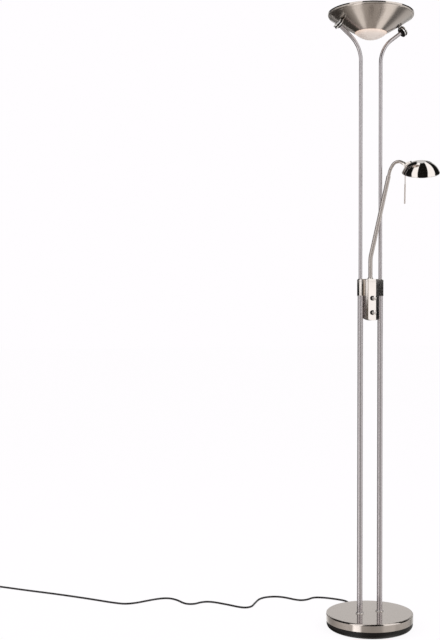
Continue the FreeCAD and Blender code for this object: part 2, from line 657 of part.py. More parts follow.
def make_arm():
    lower, upper, _ = arm_line()
    save("arm_tube_lower", swept_tube(lower, ARM_LOWER_R, ARM_LOWER_R - 1.2))
    save("arm_tube_upper", swept_tube(upper, ARM_UPPER_R, ARM_UPPER_R - 1.0))
    ring_in = ARM_LOWER_R + FIT
    ring = turned((ring_in, COLLAR_TOP + 0.2), (8.4, COLLAR_TOP + 0.2), (8.4, COLLAR_TOP + 2.6),
                  (8.1, COLLAR_TOP + 3.8, 7.2, COLLAR_TOP + 4.4), (ring_in, COLLAR_TOP + 4.4))
    save("arm_base_ring", ring)
    save("arm_retaining_collar", tube(7.6, ring_in, 5, (0, 0, 984.8)))

    spindle_r = 1.75
    socket = turned((spindle_r + RUN, -12.4), (3.0, -12.4), (3.0, -KNUCKLE_REACH),
                    (5.0, -KNUCKLE_REACH), (5.4, -KNUCKLE_REACH + 0.4), (5.4, SOCKET_FACE - 0.3),
                    (5.1, SOCKET_FACE), (spindle_r + RUN, SOCKET_FACE))
    along_end = frame(KNUCKLE, PIVOT_AXIS, ARM_END_DIR)
    save("arm_end_socket", placed(socket, along_end))

    # Local frame of the clevis: Z towards the shade, X along the pivot.
    base = cylinder(CLEVIS_R, 6, (0, 0, SOCKET_FACE + 0.1))
    reach = cylinder(CLEVIS_R, 12, (0, 0, SOCKET_FACE + 0.1)).cut(base)
    ear_shape = cylinder(EAR_R, 20, (-10, 0, 0), X_AXIS)
    ear_shape = ear_shape.fuse(block((-10, 10), (-EAR_R, EAR_R), (SOCKET_FACE + 1, 0)))
    ears = base.fuse(reach).common(ear_shape)
    foot = cylinder(CLEVIS_R, 1.3, (0, 0, SOCKET_FACE + 0.1))
    flat_r = 4.4
    clevis = foot.fuse(ears).common(block((-flat_r, flat_r), (-9, 9), (-9, 9)))
    clevis = clevis.fuse(foot)
    clevis = clevis.cut(block((-SLOT_HALF, SLOT_HALF), (-9, 9), (-EAR_R - 0.2, 9)))
    clevis = clevis.cut(cylinder(PIVOT_R + RUN, 20, (-10, 0, 0), X_AXIS))
    spindle = cylinder(spindle_r, 7.4, (0, 0, SOCKET_FACE + 0.1 - 7.4))
    save("swivel_clevis", placed(clevis.fuse(spindle).removeSplitter(), along_end))
    pin = cylinder(PIVOT_R, 2 * flat_r + 2, (-flat_r - 1, 0, 0), X_AXIS)
    head = cylinder(2.7, 1.5, (flat_r, 0, 0), X_AXIS).cut(block((flat_r + 1, 9), (-0.4, 0.4), (-9, 9)))
    nut = hexagon(5, 1.8, (-flat_r - 1.8, 0, 0), X_AXIS)
    save("tilt_pivot_screw", placed(pin.fuse([head, nut]).removeSplitter(), along_end))


# -------------------------------------------------------------- reading head
# Drawn in the shade's own frame: Z up its axis from the rim, X away from the knuckle.
DOME_CENTRE_X = SHADE_FLAT_R
DOME_CENTRE_Z = (SHADE_H ** 2 - (SHADE_R - SHADE_FLAT_R) ** 2) / (2 * SHADE_H)
DOME_ARC_R = SHADE_H - DOME_CENTRE_Z
ROD_X = -47.5
ROD_TIP = -100.0
GRIP_TOP = -39.0
SPIGOT_ANGLE = 57.0             # place of the hollow spigot round the dome's arc
SPIGOT_R = 2.5


def dome_point(angle, radius):
    """A point of the dome's section on the knuckle's side, by angle above level."""
    turn = math.radians(angle)
    return (-DOME_CENTRE_X - radius * math.cos(turn), DOME_CENTRE_Z + radius * math.sin(turn))


def dome_solid(inset):
    """Everything under the dome's outer face, moved in by the inset."""
    radius = DOME_ARC_R - inset
    rim_angle = math.degrees(math.asin(-DOME_CENTRE_Z / DOME_ARC_R))
    rim_r = -dome_point(rim_angle, radius)[0]
    rim_z = dome_point(rim_angle, radius)[1]
    middle = dome_point((rim_angle + 90) / 2, radius)
    return turned((0, -1), (rim_r, -1), (rim_r, rim_z),
                  (-middle[0], middle[1], DOME_CENTRE_X, DOME_CENTRE_Z + radius),
                  (0, DOME_CENTRE_Z + radius))


def spigot(radius, start, length):
    """A cylinder square to the dome at the spigot's place, from a radius outwards."""
    x, z = dome_point(SPIGOT_ANGLE, start)
    turn = math.radians(SPIGOT_ANGLE)
    return cylinder(radius, length, (x, 0, z), Vector(-math.cos(turn), 0, math.sin(turn)))


def save_in_head(node, shape):
    return save(node, placed(shape, SHADE_FRAME))


def make_head():
    above_rim = block((-70, 70), (-70, 70), (0, 50))
    shade = dome_solid(0).cut(dome_solid(SHADE_WALL)).common(above_rim)
    bead = Part.makeTorus(SHADE_R - 0.6, 0.9, Vector(0, 0, 0.9))
    shade = shade.fuse(bead)
    rod_r = 1.4
    shade = shade.cut([spigot(SPIGOT_R + FIT, DOME_ARC_R - 3, 6),
                       cylinder(rod_r + FIT, 20, (ROD_X, 0, 5))])
    save_in_head("reading_shade", shade.removeSplitter())

    pad_t = 3.4
    start, middle, end = (dome_point(angle, DOME_ARC_R + FIT) for angle in (33, 49, 66))
    top_start, top_middle, top_end = (dome_point(angle, DOME_ARC_R + pad_t) for angle in (33, 49, 66))
    pad = plate(9, start, middle + end, top_end, top_middle + top_start)
    pad = pad.cut(dome_solid(-FIT))
    pad = pad.cut(cylinder(CLEVIS_R + 0.5, 20, (-KNUCKLE_OUT, -10, KNUCKLE_UP), Y_AXIS))
    eye_r = 4.0
    tongue_t = 2 * SLOT_HALF - 0.3
    eye = cylinder(eye_r, tongue_t, (-KNUCKLE_OUT, -tongue_t / 2, KNUCKLE_UP), Y_AXIS)
    inner = dome_point(60, DOME_ARC_R + 0.6)
    outer = dome_point(62, DOME_ARC_R + pad_t - 0.2)
    web = plate(tongue_t, (-KNUCKLE_OUT - 2, KNUCKLE_UP - 3.4), inner, outer,
                (-KNUCKLE_OUT + 1, KNUCKLE_UP + 3.8))
    web = web.cut(dome_solid(-FIT))
    tongue = pad.fuse([eye, web, spigot(SPIGOT_R, DOME_ARC_R - 5.6, 7)])
    tongue = tongue.cut([spigot(1.4, DOME_ARC_R - 6, 12),
                         cylinder(PIVOT_R + RUN, 20, (-KNUCKLE_OUT, -10, KNUCKLE_UP), Y_AXIS),
                         cylinder(rod_r + FIT, 20, (ROD_X, 0, 5))])
    save_in_head("head_tongue", tongue.removeSplitter())

    rod_top = dome_point(37.8, DOME_ARC_R)[1] + 1.2
    save_in_head("handle_rod", cylinder(rod_r, rod_top - GRIP_TOP + 8, (ROD_X, 0, GRIP_TOP - 8)))
    grip = turned((0, ROD_TIP), (1.4, ROD_TIP), (1.9, ROD_TIP + 0.3, 2.1, ROD_TIP + 1.0),
                  (2.1, GRIP_TOP - 1.5), (1.7, GRIP_TOP), (rod_r + FIT, GRIP_TOP),
                  (rod_r + FIT, GRIP_TOP - 8.2), (0, GRIP_TOP - 8.2))
    grip.translate(Vector(ROD_X, 0, 0))
    save_in_head("handle_grip", grip)

    plate_t = 1.2
    plate_mid = 42.2
    nut_t = 2.0
    nut = hexagon(7, nut_t).cut(cylinder(SPIGOT_R + FIT, nut_t))
    nut_x, nut_z = dome_point(SPIGOT_ANGLE, plate_mid - plate_t / 2 - nut_t)
    turn = math.radians(SPIGOT_ANGLE)
    outward = Vector(-math.cos(turn), 0, math.sin(turn))
    save_in_head("head_spigot_nut", placed(nut, along(outward, (nut_x, 0, nut_z))))

    # Bent strip: one leaf under the dome, the other down behind the lampholder.
    tangent = Vector(math.sin(turn), 0, math.cos(turn))
    mid_x, mid_z = dome_point(SPIGOT_ANGLE, plate_mid)
    leaf_end = 7.2
    leaf = block((-5, leaf_end), (-6, 6), (-plate_t / 2, plate_t / 2))
    leaf = placed(leaf, frame(Vector(mid_x, 0, mid_z), tangent, outward))
    down_x = mid_x + tangent.x * leaf_end - 0.2
    down_top = mid_z + tangent.z * leaf_end + 0.3
    down = block((down_x, down_x + plate_t), (-6, 6), (4, down_top))
    bracket = leaf.fuse(down).cut(spigot(SPIGOT_R + FIT, plate_mid - 4, 8))
    save_in_head("holder_bracket", bracket.removeSplitter())

    holder_z, holder_x = 12.5, down_x + plate_t
    holder = cylinder(8.5, 15, (holder_x, 0, holder_z), X_AXIS)
    holder = holder.common(block((holder_x, holder_x + 15), (-6.5, 6.5), (4, 22)))
    holder = holder.cut(cylinder(5.6, 5, (holder_x + 10, 0, holder_z), X_AXIS))
    save_in_head("reading_lampholder", holder)
    bulb_r, bulb_l = 6.2, 40.5
    nose = bulb_r * math.sqrt(0.5)
    bulb = turned((0, 0), (4.6, 0), (4.6, 7), (bulb_r, 10), (bulb_r, bulb_l - bulb_r),
                  (nose, bulb_l - bulb_r + nose, 0, bulb_l))
    save_in_head("reading_bulb", placed(bulb, along(X_AXIS, (holder_x + 10.2, 0, holder_z))))


# -------------------------------------------------------------------- uplight
def circle_through(first, second, third):
    """Centre and radius of the circle through three (r, z) points."""
    circle = Part.Arc(flat(first), flat(second), flat(third)).toShape().Curve
    return (circle.Center.x, circle.Center.z), circle.Radius


def bowl_outline(inset):
    """The bowl's outer face moved in by the inset: its points from the rim down."""
    shoulder_mid, shoulder_end = BOWL_SHOULDER[:2], BOWL_SHOULDER[2:]
    (cx, cz), radius = circle_through(shoulder_end, BOWL_SIDE_MID, BOWL_OPENING)

    def side(point):
        scale = (radius - inset) / radius
        return (cx + (point[0] - cx) * scale, cz + (point[1] - cz) * scale)

    lip = (BOWL_R - inset, -BOWL_LIP)
    bend = (shoulder_mid[0] - inset * 0.9, shoulder_mid[1] + inset * 0.5)
    return lip, bend, side(shoulder_end), side(BOWL_SIDE_MID), side(BOWL_OPENING)


def bowl_normal_at_fitting(fitting):
    """Where the bowl's side is nearest to the fitting, and the direction into the bowl."""
    (cx, cz), radius = circle_through(BOWL_SHOULDER[2:], BOWL_SIDE_MID, BOWL_OPENING)
    centre = Vector(cx, 0, cz + HEIGHT)
    inward = (centre - fitting).normalize()
    return centre - inward * radius, inward


def bowl_seat():
    """The wall point and inward direction where the right fitting holds the bowl."""
    _, end = pole_arm_edges()
    middle = end + fitting_axis() * FITTING_MIDDLE
    wall, inward = bowl_normal_at_fitting(middle)
    return middle, wall, inward


def both_sides(node, shape):
    return save(node, mirrored(shape), shape)


def make_fittings():
    _, end = pole_arm_edges()
    middle, wall, inward = bowl_seat()
    tube_in = UPPER_POLE_R + FIT
    groove_r, edge, neck_r, boss_r = 14.5, 0.7, 9.4, 8.0
    groove_z, cap_z = FITTING_RIM_W, 2 * FITTING_RIM_W
    boss_z = cap_z + 1.6
    body = turned((tube_in, -4), (neck_r - 0.6, -4), (neck_r, -3.4), (neck_r, 0), (FITTING_R - edge, 0),
                  (FITTING_R, edge), (FITTING_R, groove_z - edge), (FITTING_R - edge, groove_z),
                  (groove_r, groove_z), (groove_r, cap_z), (boss_r, cap_z), (boss_r, boss_z), (0, boss_z),
                  (0, 2.2), (3.8, 2.2), (3.8, 0.1), (tube_in, 0.1))
    body = placed(body, along(fitting_axis(), end))
    gap = (wall - middle).Length - FITTING_R
    # A small saddle turned on the fitting carries the bowl's wall.
    saddle = cylinder(BOWL_NIPPLE_R + 0.5, gap + 4, wall - inward * (gap + 4) - inward * 0.02, inward)
    bore = cylinder(BOWL_NIPPLE_R + FIT, 40, middle - inward, inward)
    both_sides("end_fitting_bodies", body.fuse(saddle).cut(bore).removeSplitter())
    print("fitting to bowl wall gap %.2f mm" % gap)
    rim_z, face_z = cap_z + FITTING_RIM_W - 1, cap_z + FITTING_RIM_W
    cap = turned((boss_r + FIT, cap_z + FIT), (FITTING_R - edge, cap_z + FIT), (FITTING_R, cap_z + edge),
                 (FITTING_R, rim_z), (FITTING_R - 0.3, rim_z + 0.6, FITTING_R - 1.2, face_z),
                 (6, face_z + 0.5), (0, face_z + 0.7), (0, boss_z + FIT), (boss_r + FIT, boss_z + FIT))
    both_sides("end_fitting_caps", placed(cap, along(fitting_axis(), end)))

    nipple = tube(BOWL_NIPPLE_R, 1.9, (wall - middle).Length + 8 - FITTING_CLEAR_R,
                  middle + inward * FITTING_CLEAR_R, inward)
    both_sides("bowl_nipples", nipple)
    hole = cylinder(BOWL_NIPPLE_R + FIT, 9)
    nut = hexagon(11, 3, (0, 0, BRIDGE_OFF_WALL[1] + 0.05)).cut(hole)
    washer = cylinder(5, BRIDGE_OFF_WALL[0] - 0.05 - BOWL_WALL - 0.2, (0, 0, BOWL_WALL + 0.2)).cut(hole)
    seat = along(inward, wall)
    items = [placed(nut, seat), placed(washer, seat)]
    save("bowl_nuts", *items, *[mirrored(item) for item in items])


def make_bowl():
    lip, bend, side_top, side_mid, opening = bowl_outline(0)
    lip_in, bend_in, side_top_in, side_mid_in, opening_in = bowl_outline(BOWL_WALL)
    bowl = turned((BOWL_R - 0.5, 0), (BOWL_R, -0.5), lip, bend + side_top, side_mid + opening,
                  opening_in, side_mid_in + side_top_in, bend_in + lip_in, (BOWL_R - BOWL_WALL, -0.5))
    bowl.translate(Vector(0, 0, HEIGHT))
    _, wall, inward = bowl_seat()
    hole = cylinder(BOWL_NIPPLE_R + FIT, 8, wall - inward * 4, inward)
    save("uplight_bowl", bowl.cut([hole, mirrored(hole)]))

    seat = bowl_outline(BOWL_WALL + 0.15)[4]
    neck_r, neck_z = 46.3, -57.6
    flange_r = 53.0
    slope = (side_mid_in[1] - opening_in[1]) / (side_mid_in[0] - opening_in[0])
    flange_z = seat[1] + slope * (flange_r - seat[0])
    sag = neck_z - GLASS_BOTTOM
    sphere_r = (neck_r ** 2 + sag ** 2) / (2 * sag)
    mid_r = neck_r / 2
    mid_z = GLASS_BOTTOM + sphere_r - math.sqrt(sphere_r ** 2 - mid_r ** 2)
    inner_bottom = GLASS_BOTTOM + GLASS_T
    inner_r, inner_z = neck_r - 1.5, flange_z + GLASS_T - 2.2
    inner_sag = inner_z - inner_bottom
    inner_sphere = (inner_r ** 2 + inner_sag ** 2) / (2 * inner_sag)
    inner_mid_r = inner_r / 2
    inner_mid_z = inner_bottom + inner_sphere - math.sqrt(inner_sphere ** 2 - inner_mid_r ** 2)
    glass = turned((0, GLASS_BOTTOM), (mid_r, mid_z, neck_r, neck_z), (neck_r, seat[1] + 0.2),
                   (flange_r, flange_z + 0.5), (flange_r, flange_z + GLASS_T), (inner_r, inner_z),
                   (inner_mid_r, inner_mid_z, 0, inner_bottom))
    glass.translate(Vector(0, 0, HEIGHT))
    save("bowl_glass", glass)


def make_uplight_lamp():
    """Bent strip across the bowl with two lampholders and a double-ended tube lamp."""
    _, wall, inward = bowl_seat()
    width = 16.0
    strip_bottom, strip_top = BRIDGE_OFF_WALL
    strip_t = strip_top - strip_bottom
    down = Vector(-abs(inward.z), 0, -abs(inward.x))
    upper_end, lower_end = -9.0, 20.4
    low = [wall + inward * strip_bottom + down * reach for reach in (upper_end, lower_end)]
    high = wall + inward * strip_top + down * upper_end
    flat_low = low[1].z
    bend_reach = (flat_low + strip_t - high.z) / down.z
    half = plate(width, (low[0].x, low[0].z), (low[1].x, flat_low), (0, flat_low), (0, flat_low + strip_t),
                 (high.x + down.x * bend_reach, flat_low + strip_t), (high.x, high.z))
    half = half.cut(cylinder(BOWL_NIPPLE_R + FIT, 12, wall, inward))
    save("lamp_bridge", half.fuse(mirrored(half)).removeSplitter())

    lamp_z = flat_low + strip_t + 10.8
    inner_x, outer_x = 59.0, 73.0
    holder = block((inner_x, outer_x), (-7.5, 7.5), (flat_low + strip_t, lamp_z + 8))
    vertical = [edge for edge in holder.Edges if abs(edge.tangentAt(edge.FirstParameter).x) > 0.9]
    holder = holder.makeFillet(1.5, vertical)
    holder = holder.cut(cylinder(4.3, 5, (inner_x, 0, lamp_z), X_AXIS))
    both_sides("uplight_lampholders", holder)
    half_lamp = turned((0, 0), (5, 0), (5, 45), (4.4, 47.4, 3.2, 49), (3.2, 51), (3.9, 51.4),
                       (3.9, 61.5), (1.6, 61.5), (1.6, 63.6), (0, 63.6))
    half_lamp = placed(half_lamp, along(X_AXIS, (0, 0, lamp_z)))
    save("uplight_bulb", half_lamp.fuse(mirrored(half_lamp)).removeSplitter())


# ----------------------------------------------------------------- mains cord
def coil_frame():
    """Start, heading and centre of the coil, from the last run of the route."""
    last, end = Vector(*CORD_ROUTE[-2]), Vector(*CORD_ROUTE[-1])
    ahead = (end - last).normalize()
    left = Z_AXIS.cross(ahead)
    start = end + ahead * 2 * CORD_R
    return end, start, ahead, left, start + left * COIL_OUTER_R


def coil_point(turns, centre, left):
    """Place and direction on the coil after some turns: in by one layer, out on the next."""
    inward = COIL_OUTER_R - COIL_INNER_R
    half = COIL_TURNS / 2
    radius = COIL_INNER_R + inward * abs(half - turns) / half
    drift = 0.0 if turns in (0, half, COIL_TURNS) else math.copysign(inward / half, turns - half)
    climb = min(max((turns - half + 0.25) / 0.5, 0.0), 1.0)
    height = COIL_STEP * climb * climb * (3 - 2 * climb)
    rise = COIL_STEP * 6 * climb * (1 - climb) / 0.5
    angle = 2 * math.pi * turns
    out = left * -math.cos(angle) + left.cross(Z_AXIS) * math.sin(angle)
    tangent = Z_AXIS.cross(out)
    place = centre + out * radius + Z_AXIS * height
    direction = tangent * (2 * math.pi * radius) + out * drift + Z_AXIS * rise
    return place, direction.normalize()


def coil_edges():
    end, start, ahead, left, centre = coil_frame()
    edges = [Part.LineSegment(end, start).toShape()]
    steps = [step / 8 for step in range(8 * COIL_TURNS + 1)]
    marks = [coil_point(turns, centre, left) for turns in steps]
    for (here, here_dir), (there, there_dir) in zip(marks, marks[1:]):
        edges += biarc(here, here_dir, there, there_dir)
    top = marks[-1][0]
    drop = top.z - PLUG_AXIS_Z
    level, fall, rest = TAIL_RUNS
    tail = [top, top + ahead * level, top + ahead * (level + fall) - Z_AXIS * drop,
            top + ahead * (level + fall + rest) - Z_AXIS * drop]
    tail_edges, _ = rounded_edges(tail)
    return edges + tail_edges, tail[-1]


def least_gap(edges, radius):
    """Smallest clear distance between two stretches of a tube a quarter turn or more apart."""
    points, runs, travelled = [], [], 0.0
    for edge in edges:
        count = max(2, int(edge.Length / 2))
        for point in edge.discretize(count)[:-1]:
            points.append(point)
            runs.append(travelled)
        travelled += edge.Length
    apart = math.pi * COIL_INNER_R / 2
    gaps = [(a - b).Length - 2 * radius for i, a in enumerate(points) for j, b in enumerate(points[:i])
            if runs[i] - runs[j] > apart]
    return min(gaps)


def make_cord():
    edges, radii = rounded_edges(CORD_ROUTE)
    cord = swept(edges, CORD_R)
    save("mains_cord", cord)
    length = report_sweep("mains_cord", cord, edges, CORD_R, radii)

    edges, plug_start = coil_edges()
    coil = swept(edges, CORD_R)
    save("mains_cord_coil", coil)
    length += report_sweep("mains_cord_coil", coil, edges, CORD_R)
    print("coil's least gap to itself %.2f mm" % least_gap(edges, CORD_R))
    print("whole cord %.0f mm" % length)
    make_plug(plug_start)


def make_plug(start):
    """Flat two-pin plug, drawn along +X from the cord, then laid along the cord."""
    _, _, ahead, _, _ = coil_frame()
    tail_w, neck_l = 15.0, 14.0
    body = outline((neck_l, -tail_w / 2), (neck_l + 12, -PLUG_W / 2 + 2), (neck_l + PLUG_L, -PLUG_W / 2 + 1),
                   (neck_l + PLUG_L, PLUG_W / 2 - 1), (neck_l + 12, PLUG_W / 2 - 2), (neck_l, tail_w / 2))
    body.rotate(CENTRE, X_AXIS, -90)
    body.translate(Vector(0, 0, -PLUG_T / 2))
    body = body.extrude(Vector(0, 0, PLUG_T))
    body = body.makeFillet(3, [edge for edge in body.Edges if abs(edge.tangentAt(edge.FirstParameter).z) < 0.1
                               and min(vertex.X for vertex in edge.Vertexes) < neck_l + PLUG_L - 1])
    neck = placed(turned((0, 0), (3.5, 0), (5.4, neck_l + 2), (0, neck_l + 2)), along(X_AXIS))
    pin_gap, pin_l = 9.3, 19.0
    pin = turned((0, -5), (1.95, -5), (1.95, pin_l), (1.4, pin_l + 1.2), (0, pin_l + 1.2))
    pins = [placed(pin, along(X_AXIS, (neck_l + PLUG_L, y, 0))) for y in (-pin_gap, pin_gap)]
    body = body.fuse(neck).cut(pins).removeSplitter()
    lay = frame(start, ahead, Z_AXIS)
    save("mains_plug", placed(body, lay))
    save("plug_pins", *[placed(pin, lay) for pin in pins])


os.makedirs("parts", exist_ok=True)
make_base()
make_wiring()
make_lower_poles()
make_upper_poles()
make_collar()
make_dimmer()
make_arm()
make_head()
make_fittings()
make_bowl()
make_uplight_lamp()
make_cord()
print("knuckle", [round(value, 3) for value in KNUCKLE])
print("rim centre", [round(value, 3) for value in RIM_CENTRE])
print("shade axis", [round(value, 6) for value in SHADE_UP])
print("arm end direction", [round(value, 6) for value in ARM_END_DIR])
print("tilt pivot axis", [round(value, 6) for value in PIVOT_AXIS])
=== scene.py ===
import json
import math

import bmesh
import bpy
from mathutils import Matrix, Vector


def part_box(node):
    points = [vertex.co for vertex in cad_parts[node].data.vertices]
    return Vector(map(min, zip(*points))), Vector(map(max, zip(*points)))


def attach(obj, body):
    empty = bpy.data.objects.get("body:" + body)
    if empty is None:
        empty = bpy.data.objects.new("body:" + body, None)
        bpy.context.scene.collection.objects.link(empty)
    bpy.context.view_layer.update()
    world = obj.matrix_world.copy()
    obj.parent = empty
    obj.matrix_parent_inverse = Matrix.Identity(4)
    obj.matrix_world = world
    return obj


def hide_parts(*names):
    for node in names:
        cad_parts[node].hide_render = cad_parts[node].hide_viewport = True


# Torchiere floor lamp with a reading light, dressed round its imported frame.
# Metres. X runs along the pair of poles, -Y is the front with the knobs.
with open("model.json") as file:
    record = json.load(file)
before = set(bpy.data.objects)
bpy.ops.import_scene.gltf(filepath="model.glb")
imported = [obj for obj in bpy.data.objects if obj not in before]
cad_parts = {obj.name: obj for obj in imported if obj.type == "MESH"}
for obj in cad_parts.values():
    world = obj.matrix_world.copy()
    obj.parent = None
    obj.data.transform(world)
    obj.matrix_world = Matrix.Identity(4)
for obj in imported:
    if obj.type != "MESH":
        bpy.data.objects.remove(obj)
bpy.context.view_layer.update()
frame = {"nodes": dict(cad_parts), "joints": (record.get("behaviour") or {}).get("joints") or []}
nodes = frame["nodes"]


# ---------------------------------------------------------------- the camera
# A level camera 0.9 m up and 3.05 m away, a little round to the lamp's left.
# The lamp stands right of the picture's middle: part shift, part turn.
PHOTO_H = 640
VIEW_AZIMUTH = -27.0
CAMERA_DISTANCE = 3.05
CAMERA_HEIGHT = 0.9007
FOCAL_PX = 1036.5
SHIFT_PX = 64.5
TURN_DEG = 4.73
ROLL_DEG = -0.13
SENSOR_W = 36.0
SEEN_TO = 100.0


def linked(name, data):
    """A new object in the scene."""
    item = bpy.data.objects.new(name, data)
    bpy.context.scene.collection.objects.link(item)
    return item


azimuth = math.radians(VIEW_AZIMUTH)
towards_camera = Vector((math.sin(azimuth), -math.cos(azimuth), 0))
camera_right = Vector((math.cos(azimuth), math.sin(azimuth), 0))
camera_data = bpy.data.cameras.new("camera")
camera_data.sensor_width = SENSOR_W
camera_data.lens = SENSOR_W * FOCAL_PX / PHOTO_H
camera_data.shift_x = -SHIFT_PX / PHOTO_H
camera_data.clip_end = SEEN_TO
camera = linked("camera", camera_data)
camera.location = towards_camera * CAMERA_DISTANCE + Vector((0, 0, CAMERA_HEIGHT))
camera.rotation_euler = (math.radians(90), math.radians(ROLL_DEG), azimuth + math.radians(TURN_DEG))
bpy.context.scene.camera = camera
bpy.context.scene.view_settings.view_transform = "Standard"


# ---------------------------------------------------------------- the studio
# A pale floor, and a white room for the picture. Metal mirrors another room: a
# dark one with tall soft boxes, as bright metal is shown in a studio.
def linear(code):
    """An sRGB hex colour as linear RGBA."""
    shares = [int(code[start:start + 2], 16) / 255 for start in (0, 2, 4)]
    return [share / 12.92 if share <= 0.04045 else ((share + 0.055) / 1.055) ** 2.4
            for share in shares] + [1.0]


def add(tree, kind, inputs=(), **settings):
    """A node with its settings; inputs maps socket names or indexes to values or sockets."""
    node = tree.nodes.new(kind)
    for key, value in settings.items():
        setattr(node, key, value)
    for key, value in dict(inputs).items():
        if isinstance(value, bpy.types.NodeSocket):
            tree.links.new(value, node.inputs[key])
        else:
            node.inputs[key].default_value = value
    return node


def colour_ramp(tree, factor, stops):
    """A ramp through (position, linear colour) stops."""
    node = add(tree, "ShaderNodeValToRGB", {0: factor})
    ramp = node.color_ramp
    while len(ramp.elements) < len(stops):
        ramp.elements.new(0.5)
    for element, (position, colour) in zip(ramp.elements, stops):
        element.position = position
        element.color = colour
    return node.outputs["Color"]


def blended(tree, factor, first, second):
    """The colour between two others."""
    return add(tree, "ShaderNodeMix", {0: factor, 6: first, 7: second}, data_type="RGBA").outputs[2]


def passing(tree, value, start, end):
    """0 before start, 1 after end, and a slope between them."""
    return add(tree, "ShaderNodeMapRange", {"Value": value, "From Min": start, "From Max": end}).outputs[0]


def times(tree, first, second):
    """One value times another."""
    return add(tree, "ShaderNodeMath", {0: first, 1: second}, operation="MULTIPLY").outputs[0]


def within(tree, value, low, high, soft):
    """1 between low and high, and 0 outside them."""
    return times(tree, passing(tree, value, low - soft, low), passing(tree, value, high + soft, high))


def grey(value, warm=0.0):
    """A linear grey of this brightness, a little red of neutral."""
    return [value * (1 + warm), value, value * (1 - warm), 1.0]


world = bpy.data.worlds.new("studio")
bpy.context.scene.world = world
world.use_nodes = True
sky = world.node_tree
sky.nodes.clear()
direction = add(sky, "ShaderNodeTexCoord").outputs["Generated"]
# The walls stand round the place half way between each direction and the front,
# so that on turned metal they follow the form.
half_way = add(sky, "ShaderNodeVectorMath", {0: direction, 1: towards_camera}, operation="ADD").outputs[0]
half_way = add(sky, "ShaderNodeVectorMath", {0: half_way}, operation="NORMALIZE").outputs[0]
ahead = add(sky, "ShaderNodeVectorMath", {0: half_way, 1: towards_camera},
            operation="DOT_PRODUCT").outputs["Value"]
aside = add(sky, "ShaderNodeVectorMath", {0: half_way, 1: camera_right},
            operation="DOT_PRODUCT").outputs["Value"]
height = add(sky, "ShaderNodeSeparateXYZ", {0: half_way}).outputs["Z"]
# The boxes lean in over the lamp, so that on the shade their strips meet at its flat top.
LEAN_AHEAD, LEAN_ASIDE = 0.335, 0.072
above = add(sky, "ShaderNodeMath", {0: height, 1: 0.0}, operation="MAXIMUM").outputs[0]
ahead_leaned = add(sky, "ShaderNodeMath", {0: above, 1: -LEAN_AHEAD, 2: ahead},
                   operation="MULTIPLY_ADD").outputs[0]
aside_leaned = add(sky, "ShaderNodeMath", {0: above, 1: -LEAN_ASIDE, 2: aside},
                   operation="MULTIPLY_ADD").outputs[0]
bearing = add(sky, "ShaderNodeMath", {0: aside_leaned, 1: ahead_leaned}, operation="ARCTAN2").outputs[0]
around = add(sky, "ShaderNodeMapRange", {"Value": bearing, "From Min": -math.pi / 2,
                                         "From Max": math.pi / 2}).outputs[0]
# Half of the direction's own rise. An upright surface mirrors what rises as far as it
# stands above the camera, so this tells the base (-0.14), the collar (0.01) and the bowl (0.14).
sight = times(sky, height, ahead)
SOFT_BOX = 1.35
GAP = 0.008
ROOM = 0.9


def walls(*stops):
    """Walls round the lamp, from (degrees round from the front, brightness, warmth)."""
    ring = [((degrees + 90) / 180, grey(value, warm)) for degrees, value, warm in stops]
    return colour_ramp(sky, around, ring)


# What the shade's dome sees: a dark room with two soft boxes in front.
upper_walls = walls(
    (-90, ROOM, 0), (-84, 0.5, 0), (-77, GAP, 0), (-31.5, GAP, 0), (-30, SOFT_BOX, 0), (-13, SOFT_BOX, 0),
    (-11.5, GAP, 0.1), (19, GAP, 0.1), (20.5, SOFT_BOX, 0), (45.5, SOFT_BOX, 0), (47, GAP, 0), (76, GAP, 0),
    (83, 0.5, 0), (90, ROOM, 0))
# What the base's side sees: a dull wall and two bright strips.
low_walls = walls(
    (-90, 1.1, 0), (-72, 0.95, 0.01), (-64, 0.6, 0.02), (-56, 0.42, 0.05), (-45, 0.46, 0.06),
    (-23, 0.44, 0.06), (-20.5, 2.2, 0), (-12.5, 1.9, 0), (-10, 0.42, 0.06), (15, 0.44, 0.06),
    (19, 0.75, 0.04), (32, 0.7, 0.04), (38, 0.44, 0.05), (60, 0.5, 0.02), (66, 0.46, 0.02), (76, 0.8, 0),
    (90, 0.9, 0))
# What the bowl's side sees, looking down past the lamp.
floor_walls = walls(
    (-90, 0.6, 0.02), (-78, 0.38, 0.02), (-70, 0.05, 0.08), (-47, 0.06, 0.08), (-39, 0.22, 0.08),
    (-28, 0.42, 0.06), (-24, 1.1, 0.03), (-15, 1.05, 0.03), (-11, 0.47, 0.07), (15, 0.42, 0.07),
    (19, 1.15, 0.03), (35, 1.1, 0.03), (40, 0.16, 0.02), (50, 0.22, 0.02), (58, 0.6, 0.02), (90, 0.75, 0.01))
# What the casing sees at the camera's own height: the dark studio beside the camera.
level_walls = walls(
    (-90, 0.4, 0), (-80, GAP, 0), (-45, GAP, 0), (-25, 0.05, 0.25), (5, 0.10, 0.2), (20, 0.2, 0.15),
    (24, SOFT_BOX, 0), (30.5, SOFT_BOX, 0), (33, GAP, 0), (84, GAP, 0), (90, 0.4, 0))
# What the collar above it sees: a wide soft box and a narrow one.
collar_walls = walls(
    (-90, 0.3, 0), (-84, GAP, 0), (-33, GAP, 0), (-30, SOFT_BOX, 0), (4, SOFT_BOX, 0), (8, GAP, 0.1),
    (12, GAP, 0.3), (14, 0.3, 0.3), (23, 0.34, 0.3), (25, SOFT_BOX, 0.01), (29, SOFT_BOX, 0.01),
    (32, 0.04, 0), (70, 0.055, 0), (90, 0.03, 0))
